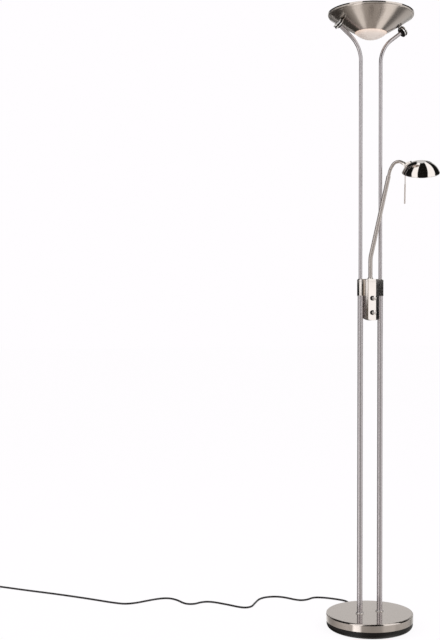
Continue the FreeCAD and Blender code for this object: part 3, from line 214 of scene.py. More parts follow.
# What upright tubes see above the camera's height, and below it: softer light.
tube_walls = walls(
    (-90, 0.45, 0), (-60, 0.62, 0.01), (-35, 1.02, 0), (-12, 0.86, 0), (8, 0.72, 0), (26, 0.86, 0),
    (44, 1.12, 0), (66, 0.9, 0), (90, 0.7, 0))
foot_walls = walls(
    (-90, 0.05, 0.02), (-62, 0.08, 0.02), (-50, 0.4, 0.01), (-30, 1.2, 0.01), (-12, 0.65, 0.02),
    (4, 0.28, 0.02), (24, 0.58, 0.01), (44, 1.05, 0.01), (62, 0.8, 0.01), (90, 0.35, 0.01))

# Where each ring of walls begins and ends, in height or in sight.
CEILING_FROM, CEILING_ALL = 0.80, 0.86
CEILING_LEFT, CEILING_RIGHT = -0.30, 0.38
FLOOR_FROM, FLOOR_ALL = -0.35, -0.5
UPRIGHT_FROM, UPRIGHT_TO = -0.30, 0.22
TUBES_TO, TUBES_ALL = 0.132, 0.130
BASE_FROM, BASE_TO, BASE_SOFT = -0.1350, -0.150, 0.0005
LEVEL_FROM, LEVEL_TO, LEVEL_SOFT = -0.004, 0.0205, 0.001
COLLAR_FROM, COLLAR_ALL = 0.0108, 0.0116
OVERHEAD_FROM, OVERHEAD_ALL = 0.945, 0.955

# Behind the place where the strips meet, the dome mirrors the dark ceiling.
behind = times(sky, passing(sky, ahead_leaned, 0.0, -0.02), passing(sky, height, CEILING_FROM, CEILING_ALL))
behind = times(sky, behind, within(sky, aside, CEILING_LEFT, CEILING_RIGHT, 0.04))
upper_walls = blended(sky, behind, upper_walls, grey(GAP))
sides = blended(sky, passing(sky, height, FLOOR_FROM, FLOOR_ALL), upper_walls, floor_walls)
upright = within(sky, height, UPRIGHT_FROM, UPRIGHT_TO, 0.03)
upright = times(sky, upright, passing(sky, sight, TUBES_TO, TUBES_ALL))
tubes = blended(sky, passing(sky, sight, 0.0, 0.01), foot_walls, tube_walls)
tubes = blended(sky, passing(sky, sight, BASE_FROM + BASE_SOFT, BASE_FROM - BASE_SOFT), tubes, low_walls)
sides = blended(sky, upright, sides, tubes)
sides = blended(sky, within(sky, sight, BASE_TO, BASE_FROM, BASE_SOFT), sides, low_walls)
level = blended(sky, passing(sky, height, COLLAR_FROM, COLLAR_ALL), level_walls, collar_walls)
sides = blended(sky, within(sky, sight, LEVEL_FROM, LEVEL_TO, LEVEL_SOFT), sides, level)
overhead = colour_ramp(sky, passing(sky, height, CEILING_ALL, 1.0), [
    (0.0, grey(0.72, 0.01)), (0.955, grey(0.72, 0.01)), (0.97, grey(1.3, 0.02)), (1.0, grey(1.3, 0.02))])
seen_by_metal = blended(sky, passing(sky, height, OVERHEAD_FROM, OVERHEAD_ALL), sides, overhead)
rays = add(sky, "ShaderNodeLightPath").outputs
metal_light = add(sky, "ShaderNodeBackground", {"Color": seen_by_metal, "Strength": 1.0})
soft_light = add(sky, "ShaderNodeBackground", {"Color": grey(0.80), "Strength": 1.0})
white = add(sky, "ShaderNodeBackground", {"Color": linear("fffdff"), "Strength": 1.0})
plain = add(sky, "ShaderNodeMixShader", {0: rays["Is Glossy Ray"], 1: soft_light.outputs[0],
                                         2: metal_light.outputs[0]})
seen = add(sky, "ShaderNodeMath", {0: rays["Is Camera Ray"], 1: rays["Is Transmission Ray"]},
           operation="MAXIMUM")
final = add(sky, "ShaderNodeMixShader", {0: seen.outputs[0], 1: plain.outputs[0], 2: white.outputs[0]})
add(sky, "ShaderNodeOutputWorld", {"Surface": final.outputs[0]})


def lamp(name, place, target, size, watts):
    """A soft square lamp that looks at the target; metal doesn't mirror it."""
    data = bpy.data.lights.new(name, "AREA")
    data.size = size
    data.energy = watts
    item = linked(name, data)
    item.location = place
    item.rotation_euler = (Vector(target) - Vector(place)).to_track_quat("-Z", "Y").to_euler()
    item.visible_glossy = False


lamp("key_lamp", camera_right * 2.0 + towards_camera * 1.6 + Vector((0, 0, 2.9)), (0, 0, 0.8), 1.6, 26)
lamp("fill_lamp", camera_right * -2.4 + towards_camera * 1.4 + Vector((0, 0, 2.2)), (0, 0, 0.9), 1.8, 14)

FLOOR_HALF = 30.0
# The paper is lit almost to white; what is left of its own shading keeps the shadow.
PAPER_GLOW = 0.9
floor_mesh = bpy.data.meshes.new("floor")
corners = [(x * FLOOR_HALF, y * FLOOR_HALF, 0) for x, y in ((-1, -1), (1, -1), (1, 1), (-1, 1))]
floor_mesh.from_pydata(corners, [], [(0, 1, 2, 3)])
floor = linked("floor", floor_mesh)
floor.visible_glossy = False
paper = bpy.data.materials.new("studio_paper")
paper.use_nodes = True
tree = paper.node_tree
tree.nodes.clear()
matt = add(tree, "ShaderNodeBsdfDiffuse", {"Color": grey(0.86)})
bright = add(tree, "ShaderNodeEmission", {"Color": linear("fffdff"), "Strength": 1.03})
rays = add(tree, "ShaderNodeLightPath").outputs
looked_at = add(tree, "ShaderNodeMath", {0: rays["Is Camera Ray"], 1: rays["Is Transmission Ray"]},
                operation="MAXIMUM").outputs[0]
glow = times(tree, looked_at, PAPER_GLOW)
mixed = add(tree, "ShaderNodeMixShader", {0: glow, 1: matt.outputs[0], 2: bright.outputs[0]})
add(tree, "ShaderNodeOutputMaterial", {"Surface": mixed.outputs[0]})
floor_mesh.materials.append(paper)


# -------------------------------------------------------------- the mains lead
# Black round PVC lead, 6 mm, with a flat moulded two-pin plug. It leaves the
# base at the back, lies loose on the floor, and its spare length is coiled
# just outside the picture.
def material(name, base, metallic=0.0, roughness=0.5, **more):
    """A new Principled material, its tree and its shader."""
    made = bpy.data.materials.new(name)
    made.use_nodes = True
    shader = made.node_tree.nodes["Principled BSDF"]
    shader.inputs["Base Color"].default_value = linear(base)
    shader.inputs["Metallic"].default_value = metallic
    shader.inputs["Roughness"].default_value = roughness
    for key, value in more.items():
        shader.inputs[key.replace("_", " ")].default_value = value
    return made, made.node_tree, shader


def object_place(tree, scale=(1, 1, 1)):
    """Object coordinates, stretched."""
    place = add(tree, "ShaderNodeTexCoord").outputs["Object"]
    return add(tree, "ShaderNodeMapping", {"Vector": place, "Scale": scale}).outputs[0]


def ranged(tree, value, low, high):
    """A 0 to 1 value as one from low to high."""
    return add(tree, "ShaderNodeMapRange", {"Value": value, "To Min": low, "To Max": high}).outputs[0]


def speckle(tree, place, size_mm, detail=2.0):
    """Noise whose grains are about this size."""
    return add(tree, "ShaderNodeTexNoise", {"Vector": place, "Scale": 1000.0 / size_mm,
                                            "Detail": detail}).outputs[0]


def bumped(tree, shader, height_value, depth_mm, strength):
    """The surface's grain, as deep as this."""
    bump = add(tree, "ShaderNodeBump", {"Height": height_value, "Distance": depth_mm / 1000,
                                        "Strength": strength})
    tree.links.new(bump.outputs[0], shader.inputs["Normal"])


def reshaped(tree, shader, height_value):
    """What the surface mirrors follows this height too, in metres, on top of its grain."""
    bump = add(tree, "ShaderNodeBump", {"Height": height_value, "Distance": 1.0, "Strength": 1.0})
    for link in list(shader.inputs["Normal"].links):
        tree.links.new(link.from_socket, bump.inputs["Normal"])
    tree.links.new(bump.outputs[0], shader.inputs["Normal"])


def beyond(tree, value, start):
    """How far a value is past the start, or 0."""
    past = add(tree, "ShaderNodeMath", {0: value, 1: start}, operation="SUBTRACT").outputs[0]
    return add(tree, "ShaderNodeMath", {0: past, 1: 0.0}, operation="MAXIMUM").outputs[0]


def varied(tree, shader, factor, first, second):
    """The surface's colour from one shade to another."""
    tree.links.new(blended(tree, factor, linear(first), linear(second)), shader.inputs["Base Color"])


def roughened(tree, shader, factor, low, high):
    """The surface's roughness from one value to another."""
    tree.links.new(ranged(tree, factor, low, high), shader.inputs["Roughness"])


# PVC sheath, extruded: near black with a soft waxy gleam and faint ripples along it.
pvc_sheath, tree, shader = material("pvc_cord_sheath", "151214", roughness=0.38)
place = object_place(tree)
varied(tree, shader, speckle(tree, place, 26), "120f11", "1f1b1d")
roughened(tree, shader, speckle(tree, place, 9), 0.30, 0.46)
bumped(tree, shader, speckle(tree, place, 1.6), 0.05, 0.5)

CORD_R = 0.003
CORD_ROUTE = [
    (0.000, 0.152, 0.012), (0.000, 0.179, 0.012), (0.013, 0.211, 0.005), (0.050, 0.240, CORD_R),
    (0.057, 0.272, CORD_R), (0.034, 0.307, CORD_R), (0.004, 0.338, CORD_R),
    (-0.025, 0.352, CORD_R), (-0.055, 0.332, CORD_R), (-0.084, 0.335, CORD_R),
    (-0.114, 0.394, CORD_R), (-0.150, 0.413, CORD_R), (-0.190, 0.405, CORD_R),
    (-0.224, 0.359, CORD_R), (-0.250, 0.320, CORD_R), (-0.279, 0.321, CORD_R),
    (-0.310, 0.374, CORD_R), (-0.349, 0.428, CORD_R), (-0.378, 0.433, CORD_R),
    (-0.406, 0.418, CORD_R), (-0.433, 0.431, CORD_R), (-0.442, 0.486, CORD_R),
    (-0.464, 0.521, CORD_R), (-0.507, 0.521, CORD_R), (-0.599, 0.491, CORD_R),
    (-0.643, 0.532, CORD_R), (-0.694, 0.595, CORD_R), (-0.749, 0.657, CORD_R),
    (-0.804, 0.716, CORD_R), (-0.864, 0.776, CORD_R), (-0.921, 0.837, CORD_R),
    (-0.973, 0.891, CORD_R), (-1.002, 0.930, CORD_R)]
COIL_TURNS = 2
COIL_OUTER_R, COIL_INNER_R = 0.036, 0.030
# The second turn climbs over the first one's end.
CLIMB_FROM, CLIMB_TURNS = 0.75, 0.5
COIL_STEP = 0.0066
POINTS_A_TURN = 16
PLUG_AXIS_Z = 0.007
TAIL_REACHES = (0.012, 0.042, 0.056)

route_end = Vector(CORD_ROUTE[-1])
onward = (route_end - Vector(CORD_ROUTE[-2])).normalized()
leftward = Vector((0, 0, 1)).cross(onward)
coil_start = route_end + onward * 2 * CORD_R
coil_centre = coil_start + leftward * COIL_OUTER_R
coil_points = []
for step in range(COIL_TURNS * POINTS_A_TURN + 1):
    turns = step / POINTS_A_TURN
    radius = COIL_INNER_R + (COIL_OUTER_R - COIL_INNER_R) * abs(1 - turns)
    climb = min(max((turns - CLIMB_FROM) / CLIMB_TURNS, 0), 1)
    angle = 2 * math.pi * turns
    out = onward * math.sin(angle) - leftward * math.cos(angle)
    rise = COIL_STEP * climb * climb * (3 - 2 * climb)
    coil_points.append(coil_centre + out * radius + Vector((0, 0, rise)))
tail = [coil_points[-1] + onward * reach for reach in TAIL_REACHES]
for point in tail[1:]:
    point.z = PLUG_AXIS_Z
cord_points = [Vector(point) for point in CORD_ROUTE] + coil_points + tail


def spline_curve(name, points, radius):
    """A round curve of one smooth spline; its route's points are its control points."""
    data = bpy.data.curves.new(name, "CURVE")
    data.dimensions = "3D"
    spline = data.splines.new("NURBS")
    spline.points.add(len(points) - 1)
    for point, place in zip(spline.points, points):
        point.co = (*place, 1.0)
    spline.order_u = 3
    spline.use_endpoint_u = True
    spline.resolution_u = 6
    data.bevel_depth = radius
    data.bevel_resolution = 5
    data.use_fill_caps = True
    return linked(name, data)


def fit(piece, slot, body, *replaced):
    """The piece rides on the body and stands for the CAD nodes. The slot is not used."""
    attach(piece, body)
    if replaced:
        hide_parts(*replaced)
    return piece


lead = spline_curve("mains_lead", cord_points, CORD_R)
lead.data.materials.append(pvc_sheath)
fit(lead, "black_cord", "stand", "mains_cord", "mains_cord_coil")


def dressed(finish, *names):
    """CAD nodes that stay as they are and get a finish."""
    for name in names:
        nodes[name].data.materials.clear()
        nodes[name].data.materials.append(finish)


def smoothed(mesh, angle=32):
    """Smooth shading, with edges sharper than the angle kept crisp."""
    for face in mesh.polygons:
        face.use_smooth = True
    mesh.set_sharp_from_angle(angle=math.radians(angle))


def settled(item):
    """The object's mesh with its modifiers applied."""
    seen = item.evaluated_get(bpy.context.evaluated_depsgraph_get())
    mesh = bpy.data.meshes.new_from_object(seen)
    item.modifiers.clear()
    item.data = mesh
    mesh.name = item.name
    return item


# Corners of a CAD mesh's triangles that lie this near are one, and faces that meet
# at less than this angle are one flat face.
WELD = 2e-6
FLAT_ANGLE = math.radians(1.0)


def eased(name, node, finish, width_mm, angle=32):
    """A copy of a CAD node with its hard edges rounded by this much."""
    work = bmesh.new()
    work.from_mesh(nodes[node].data)
    bmesh.ops.remove_doubles(work, verts=work.verts, dist=WELD)
    bmesh.ops.dissolve_limit(work, angle_limit=FLAT_ANGLE, verts=work.verts, edges=work.edges)
    mesh = bpy.data.meshes.new(name)
    work.to_mesh(mesh)
    work.free()
    smoothed(mesh, angle)
    item = linked(name, mesh)
    mesh.materials.clear()
    mesh.materials.append(finish)
    rounding = item.modifiers.new("rounding", "BEVEL")
    rounding.width = width_mm / 1000
    rounding.segments = 3
    rounding.limit_method = "ANGLE"
    rounding.angle_limit = math.radians(angle)
    rounding.harden_normals = True
    return settled(item)


# ABS, moulded with a fine spark-eroded grain: black, matt, faintly brown where lit.
black_abs, tree, shader = material("moulded_black_abs", "17110f", roughness=0.42)
place = object_place(tree)
varied(tree, shader, speckle(tree, place, 40), "140e0c", "211816")
roughened(tree, shader, speckle(tree, place, 3), 0.36, 0.50)
bumped(tree, shader, speckle(tree, place, 0.8), 0.03, 0.6)

# Brass pins with bright nickel on them.
pin_nickel, tree, shader = material("plated_brass_pin", "d8d2c6", metallic=1.0, roughness=0.16)
roughened(tree, shader, speckle(tree, object_place(tree), 5), 0.12, 0.22)

plug = fit(eased("moulded_plug", "mains_plug", black_abs, 0.5, 50), "black_plastic", "stand", "mains_plug")
dressed(pin_nickel, "plug_pins")


# ------------------------------------------------- where the lead leaves the base
# A moulded black strain relief: a flange inside the pan's wall, a neck through it,
# and a tapering tail cut with grooves so that it bends with the lead.
def lathe(name, profile, segments, place):
    """A turned shape through (radius, height) points in mm, from its axis back to its axis."""
    work = bmesh.new()
    rings = []
    for radius, z in profile:
        if radius == 0:
            rings.append([work.verts.new((0, 0, z / 1000))])
            continue
        turns = [2 * math.pi * step / segments for step in range(segments)]
        spots = [(radius / 1000 * math.cos(turn), radius / 1000 * math.sin(turn), z / 1000)
                 for turn in turns]
        rings.append([work.verts.new(spot) for spot in spots])
    for low, high in zip(rings, rings[1:]):
        for step in range(segments):
            after = (step + 1) % segments
            corners = [low[step % len(low)], low[after % len(low)], high[after % len(high)],
                       high[step % len(high)]]
            corners = list(dict.fromkeys(corners))
            if len(corners) > 2:
                work.faces.new(corners)
    if work.calc_volume(signed=True) < 0:
        bmesh.ops.reverse_faces(work, faces=work.faces)
    mesh = bpy.data.meshes.new(name)
    work.to_mesh(mesh)
    work.free()
    mesh.transform(place)
    smoothed(mesh)
    return linked(name, mesh)


def standing_on(origin_mm, up, side=None):
    """A matrix that turns local Z into up and puts local zero at a place."""
    turn = Vector(up).normalized()
    if side is None:
        rotation = turn.to_track_quat("Z", "Y").to_matrix()
    else:
        first = Vector(side).normalized()
        rotation = Matrix((first, turn.cross(first), turn)).transposed()
    return Matrix.Translation(Vector(origin_mm) / 1000) @ rotation.to_4x4()


RELIEF_Z, RELIEF_TIP_Y = 12.0, 152.0
PAN_WALL_IN, PAN_WALL_OUT = 118.4, 122.8
GROOVES, GROOVE_PITCH, GROOVE_W = 5, 4.2, 1.7
GROOVES_FROM, GROOVE_DEPTH, GROOVE_SLOPE = 1.6, 0.9, 0.3
taper_from, taper_to = (PAN_WALL_OUT + 3.2, 5.3), (RELIEF_TIP_Y, 3.7)


def taper_r(y):
    """The tail's radius this far back."""
    share = (y - taper_from[0]) / (taper_to[0] - taper_from[0])
    return taper_from[1] + (taper_to[1] - taper_from[1]) * share


relief_profile = [(0, PAN_WALL_IN - 3), (6.8, PAN_WALL_IN - 3), (6.8, PAN_WALL_IN), (5.4, PAN_WALL_IN),
                  (5.4, PAN_WALL_OUT), (6.2, PAN_WALL_OUT), (6.2, PAN_WALL_OUT + 2.0), taper_from[::-1]]
for groove in range(GROOVES):
    y = taper_from[0] + GROOVES_FROM + groove * GROOVE_PITCH
    floor_r = taper_r(y + GROOVE_W / 2) - GROOVE_DEPTH
    relief_profile += [(taper_r(y), y), (floor_r, y + GROOVE_SLOPE), (floor_r, y + GROOVE_W - GROOVE_SLOPE),
                       (taper_r(y + GROOVE_W), y + GROOVE_W)]
relief_profile += [(3.75, RELIEF_TIP_Y - 0.4), (3.4, RELIEF_TIP_Y), (0, RELIEF_TIP_Y)]
relief = lathe("grooved_strain_relief", relief_profile, 48, standing_on((0, 0, RELIEF_Z), (0, 1, 0)))
relief.data.materials.append(black_abs)
fit(relief, "black_plastic", "stand", "strain_relief")


# -------------------------------------------------------------------- the base
# A pressed steel cover, brushed in rings and nickel plated, over a cast iron
# weight. A black moulded pan closes it from below and a felt disc meets the
# floor. The poles' nipples clamp the lot together.
def ring_place(tree):
    """Coordinates that turn with the piece: distance from its axis, height, and angle."""
    place = add(tree, "ShaderNodeTexCoord").outputs["Object"]
    parts = add(tree, "ShaderNodeSeparateXYZ", {0: place}).outputs
    level = add(tree, "ShaderNodeCombineXYZ", {"X": parts["X"], "Y": parts["Y"]}).outputs[0]
    out = add(tree, "ShaderNodeVectorMath", {0: level}, operation="LENGTH").outputs["Value"]
    turn = add(tree, "ShaderNodeMath", {0: parts["Y"], 1: parts["X"]}, operation="ARCTAN2").outputs[0]
    return out, parts["Z"], turn


def turned_grain(tree, shader, ring_mm, depth_mm):
    """Fine rings left by turning, which catch the light."""
    out, z, turn = ring_place(tree)
    out = times(tree, out, 1000 / ring_mm)
    z = times(tree, z, 1000 / ring_mm)
    place = add(tree, "ShaderNodeCombineXYZ", {"X": out, "Y": z, "Z": turn}).outputs[0]
    rings = add(tree, "ShaderNodeTexNoise", {"Vector": place, "Scale": 1.0, "Detail": 3.0}).outputs[0]
    bumped(tree, shader, rings, depth_mm, 0.5)
    return rings


def brushed_round(tree, shader):
    """The grain that stretches highlights runs round the lamp's axis."""
    tangent = add(tree, "ShaderNodeTangent", direction_type="RADIAL", axis="Z").outputs[0]
    tree.links.new(tangent, shader.inputs["Tangent"])


# Nickel on finely ring-brushed steel, bright enough to mirror the poles.
# The real rings are about 0.3 mm apart; they are drawn at 1.2 mm so that they show.
brushed_cover, tree, shader = material("ring_brushed_nickel", "c6bdb6", metallic=1.0, roughness=0.12,
                                       Anisotropic=0.35, Anisotropic_Rotation=0.25)
brushed_round(tree, shader)
rings = turned_grain(tree, shader, ring_mm=1.2, depth_mm=0.002)
varied(tree, shader, rings, "c1b8b1", "ccc3bd")
roughened(tree, shader, rings, 0.09, 0.15)
# The pressed edge starts to turn over a little lower than its 3 mm bend.
EDGE_FROM_Z, EDGE_SLOPE = 0.0402, 0.55
reshaped(tree, shader, times(tree, beyond(tree, ring_place(tree)[1], EDGE_FROM_Z), -EDGE_SLOPE))
dressed(brushed_cover, "base_cover")

# Polypropylene pan, moulded black with a low sheen, a little brown where it is lit.
black_pan, tree, shader = material("moulded_black_pan", "0b0706", roughness=0.36, Specular_IOR_Level=0.28)
place = object_place(tree)
varied(tree, shader, speckle(tree, place, 30), "080505", "130c0a")
roughened(tree, shader, speckle(tree, place, 4), 0.30, 0.44)
bumped(tree, shader, speckle(tree, place, 0.9), 0.02, 0.5)
dressed(black_pan, "base_pan")

# Pressed wool felt: dark, dry, matted fibres a few tenths of a millimetre thick.
felt, tree, shader = material("pressed_wool_felt", "262425", roughness=0.95, Sheen_Weight=0.3)
place = object_place(tree)
fibres = speckle(tree, place, 0.7, 6.0)
varied(tree, shader, fibres, "1b191a", "363334")
bumped(tree, shader, fibres, 0.3, 0.7)
dressed(felt, "base_felt")

# Cast iron, painted thinly: dull and slightly pitted.
cast_iron, tree, shader = material("cast_iron", "3c3b3d", metallic=0.6, roughness=0.7)
place = object_place(tree)
varied(tree, shader, speckle(tree, place, 12), "333234", "4a484a")
bumped(tree, shader, speckle(tree, place, 2.2, 4.0), 0.25, 0.6)
dressed(cast_iron, "base_weight")

# Zinc-plated steel: bluish grey with faint blotches from the bath.
zinc_steel, tree, shader = material("zinc_plated_steel", "b9babb", metallic=1.0, roughness=0.32)
place = object_place(tree)
varied(tree, shader, speckle(tree, place, 6), "a9abae", "c6c4bd")
roughened(tree, shader, speckle(tree, place, 2.5), 0.24, 0.42)
dressed(zinc_steel, "pan_screws", "pole_nipples", "pole_nuts", "pole_end_bushes", "wiring_screws",
        "pole_couplers", "coupler_grub_screws", "back_cover_screws", "arm_bush", "arm_retaining_collar",
        "dimmer_shaft_upper", "dimmer_shaft_lower", "dimmer_units", "head_spigot_nut", "holder_bracket",
        "bowl_nipples", "bowl_nuts", "lamp_bridge")

# Steatite, the glazed ceramic of lampholders and terminal blocks: warm white, glossy.
steatite, tree, shader = material("glazed_steatite", "ece5d8", roughness=0.22, Coat_Weight=0.4)
place = object_place(tree)
varied(tree, shader, speckle(tree, place, 14), "e6ddce", "f1ebe0")
bumped(tree, shader, speckle(tree, place, 3.5), 0.05, 0.3)
dressed(steatite, "terminal_block")
dressed(black_abs, "cord_clamp")
dressed(pvc_sheath, "inner_cord")


# ------------------------------------------------------------------- the poles
# Two pairs of drawn steel tubes, satin nickel. The 16 mm lower ones stand on
# the base, and the 11 mm upper ones run from the collar and curve out at the
# top. Turned rings hide the lower ones' feet.
def long_grain(tree, shader, low, high, shades, grain_mm=0.9):
    """Faint grain that runs along an upright tube: fine across it, long down it."""
    grain = speckle(tree, object_place(tree, (1.0, 1.0, 0.01)), grain_mm)
    varied(tree, shader, grain, *shades)
    roughened(tree, shader, grain, low, high)


# Satin nickel: the polishing belt's grain is about 0.1 mm; it is drawn at 0.9 mm.
satin_nickel, tree, shader = material("satin_nickel_tube", "c9c2c4", metallic=1.0, roughness=0.25)
long_grain(tree, shader, 0.24, 0.28, ("c7c0c2", "cbc5c7"))
dressed(satin_nickel, "lower_pole_left", "lower_pole_right", "upper_pole_left", "upper_pole_right")

# The rings at the poles' feet are bead-blasted before plating: duller than all else.
blasted_ring, tree, shader = material("bead_blasted_nickel", "eae5e2", metallic=1.0, roughness=0.5)
varied(tree, shader, speckle(tree, object_place(tree), 6), "e6e1de", "eeeae7")
dressed(blasted_ring, "pole_foot_rings")


# -------------------------------------------------- the collar and dimmer housing
# A drawn oval band and its cast cap hold both pairs of poles and the arm's
# bearing. The casing in front of it has a bowed bottom edge and carries two
# rotary dimmers. All of it is polished and plated.

# The collar's flats are in fact a little bowed, and the casing's face rounds away to
# its right: both show only in what they mirror.
FLAT_FROM_X, FLAT_TO_X = -0.0155, 0.0087
LEFT_BOW, RIGHT_BOW = 8.4, 120.0
bowed_nickel, tree, shader = material("bowed_bright_nickel", "dbd4cf", metallic=1.0, roughness=0.06)
across = add(tree, "ShaderNodeSeparateXYZ", {0: object_place(tree)}).outputs["X"]
to_left = add(tree, "ShaderNodeMath", {0: across, 1: FLAT_FROM_X}, operation="MINIMUM").outputs[0]
to_right = beyond(tree, across, FLAT_TO_X)
left_bow = times(tree, times(tree, to_left, to_left), -LEFT_BOW / 2)
right_bow = times(tree, times(tree, to_right, to_right), -RIGHT_BOW / 2)
bow = add(tree, "ShaderNodeMath", {0: left_bow, 1: right_bow}, operation="ADD").outputs[0]
reshaped(tree, shader, bow)
roughened(tree, shader, speckle(tree, object_place(tree), 18), 0.03, 0.09)

COLLAR_PIECES = (("collar_band_shell", "collar_band", 0.35), ("collar_cap_shell", "collar_cap", 0.3),
                 ("dimmer_casing", "dimmer_housing", 0.45))
for name, node, edge_mm in COLLAR_PIECES:
    fit(eased(name, node, bowed_nickel, edge_mm), "polished_nickel", "stand", node)
dressed(black_abs, "dimmer_back_cover")

# Glass-fibre board with green lacquer.
board_lacquer, tree, shader = material("lacquered_glass_board", "27502f", roughness=0.3)
place = object_place(tree)
varied(tree, shader, speckle(tree, place, 1.5), "224829", "2f5c38")
dressed(board_lacquer, "dimmer_board")


# ------------------------------------------------------------- the dimmer knobs
# Turned and plated knobs with domed faces, 14 mm across, pushed on the dimmers'
# shafts. Fine ribs round the side give grip and an inlaid line shows the setting.
def grown(name, build, sizes, finish):
    """A mesh that Geometry Nodes make: build lays out the rule from its named sizes."""
    rule = bpy.data.node_groups.new(name + "_rule", "GeometryNodeTree")
    rule.interface.new_socket("Geometry", in_out="OUTPUT", socket_type="NodeSocketGeometry")
    for label, value in sizes.items():
        kind = {int: "NodeSocketInt", float: "NodeSocketFloat"}.get(type(value), "NodeSocketVector")
        rule.interface.new_socket(label, in_out="INPUT", socket_type=kind)
    start = rule.nodes.new("NodeGroupInput").outputs
    shape = build(rule, start)
    whole = add(rule, "GeometryNodeRealizeInstances", {0: shape}).outputs[0]
    coated = add(rule, "GeometryNodeSetMaterial", {0: whole, "Material": finish}).outputs[0]
    add(rule, "NodeGroupOutput", {0: coated})
    item = linked(name, bpy.data.meshes.new(name))
    modifier = item.modifiers.new("rule", "NODES")
    modifier.node_group = rule
    for socket in rule.interface.items_tree:
        if socket.in_out == "INPUT":
            modifier[socket.identifier] = sizes[socket.name]
    return settled(item)


def rib_ring(rule, size):
    """Upright ribs set evenly round a turned side."""
    circle = add(rule, "GeometryNodeMeshCircle", {"Vertices": size["Ribs"], "Radius": size["Radius"]})
    rib = add(rule, "GeometryNodeMeshCylinder", {"Vertices": 6, "Radius": size["Rib radius"],
                                                  "Depth": size["Rib length"]})
    ribs = add(rule, "GeometryNodeInstanceOnPoints", {"Points": circle.outputs[0],
                                                       "Instance": rib.outputs[0]})
    return ribs.outputs[0]


KNOB_BACK_Y, KNOB_FACE_Y = -19.1, -25.3
KNOB_HEIGHTS = {"upper": 965.0, "lower": 923.0}
KNOB_RIBS, RIBBED_R = 40, 6.88
RIB_R, RIB_LENGTH, RIB_MIDDLE = 0.32, 4.9, 3.75
POINTER_R, POINTER_LENGTH = 0.4, 2.4
POINTER_OUT, POINTER_UP, POINTER_SLOPE = 3.6, 7.85, -0.36
POINTER_TURN = math.radians(135)
knob_profile = [(0, 6.4), (3, 6.4), (3, 0), (4.6, 0), (4.6, 1.6), (5.6, 1.6), (5.6, 0), (6.5, 0), (6.9, 0.4),
                (6.9, 1.1), (6.75, 1.3), (6.75, 6.2), (6.9, 6.4), (6.9, 6.75), (6.7, 7.0), (6.0, 7.3),
                (5.0, 7.65), (4.0, 7.93), (3.0, 8.14), (2.0, 8.29), (1.0, 8.37), (0, 8.4)]
# Nickel on the knob's domed face; its ribbed side is painted black, a painted dark reflection.
knob_finish, tree, shader = material("nickel_face_painted_dark_side", "dbd4cf", metallic=1.0, roughness=0.08)
front = add(tree, "ShaderNodeSeparateXYZ", {0: object_place(tree)}).outputs["Y"]
face = passing(tree, front, KNOB_FACE_Y / 1000, KNOB_FACE_Y / 1000 - 0.0001)
# The side's black is a painted dark reflection.
varied(tree, shader, face, "0e0c0c", "dbd4cf")
tree.links.new(face, shader.inputs["Metallic"])
roughened(tree, shader, face, 0.35, 0.08)
for which, z in KNOB_HEIGHTS.items():
    seat = standing_on((0, KNOB_BACK_Y, z), (0, -1, 0), (1, 0, 0))
    knob = lathe("dimmer_knob_%s_body" % which, knob_profile, 72, seat)
    knob.data.materials.append(knob_finish)
    grip = grown("knob_grip_" + which, rib_ring, {
        "Ribs": KNOB_RIBS, "Radius": (RIBBED_R - RIB_R / 2) / 1000, "Rib radius": RIB_R / 1000,
        "Rib length": RIB_LENGTH / 1000}, knob_finish)
    grip.data.transform(seat @ Matrix.Translation((0, 0, RIB_MIDDLE / 1000)))
    laid = standing_on((0, POINTER_OUT, POINTER_UP), (0, 1, POINTER_SLOPE))
    pointer = lathe("knob_pointer_" + which, [(0, 0), (POINTER_R, 0), (POINTER_R, POINTER_LENGTH),
                                              (0, POINTER_LENGTH)],
                    12, seat @ Matrix.Rotation(POINTER_TURN, 4, "Z") @ laid)
    pointer.data.materials.append(black_abs)
    for piece, taken in ((knob, ["dimmer_knob_" + which]), (grip, []), (pointer, [])):
        fit(piece, "polished_nickel", which + "_knob", *taken)


# -------------------------------------------------------------- the reading arm
# Two sleeved steel tubes, satin like the poles, in a plain bearing in the
# collar. A turned ring covers the joint, and a socket in the far end carries
# the head's swivelling clevis with its pivot screw.
# Bright nickel: polished before plating, near a mirror, with the faintest haze.
bright_nickel, tree, shader = material("bright_nickel_plate", "dbd4cf", metallic=1.0, roughness=0.06)
place = object_place(tree)
varied(tree, shader, speckle(tree, place, 30), "d5cec9", "e2dcd7")
roughened(tree, shader, speckle(tree, place, 18, 4.0), 0.03, 0.11)

# Satin nickel with a softer gleam than the poles have.
arm_nickel, tree, shader = material("satin_nickel_arm", "c8beb9", metallic=1.0, roughness=0.27)
place = object_place(tree)
varied(tree, shader, speckle(tree, place, 60), "c5bbb6", "cbc2bd")
roughened(tree, shader, speckle(tree, place, 25), 0.25, 0.29)
dressed(arm_nickel, "arm_tube_lower", "arm_tube_upper")
dressed(bright_nickel, "arm_base_ring", "arm_end_socket", "tilt_pivot_screw")
fit(eased("clevis_body", "swivel_clevis", bright_nickel, 0.3), "polished_nickel", "head_swivel",
    "swivel_clevis")


# ------------------------------------------------------------- the reading head
# A spun, polished and plated dome with a rolled rim. A casting on its side sits
# in the clevis. Inside are a bracket, a small ceramic holder and its capsule
# lamp. A plated wire rod with a thicker grip hangs down to aim it.
fit(eased("head_tongue_casting", "head_tongue", bright_nickel, 0.25), "polished_nickel", "reading_head",
    "head_tongue")
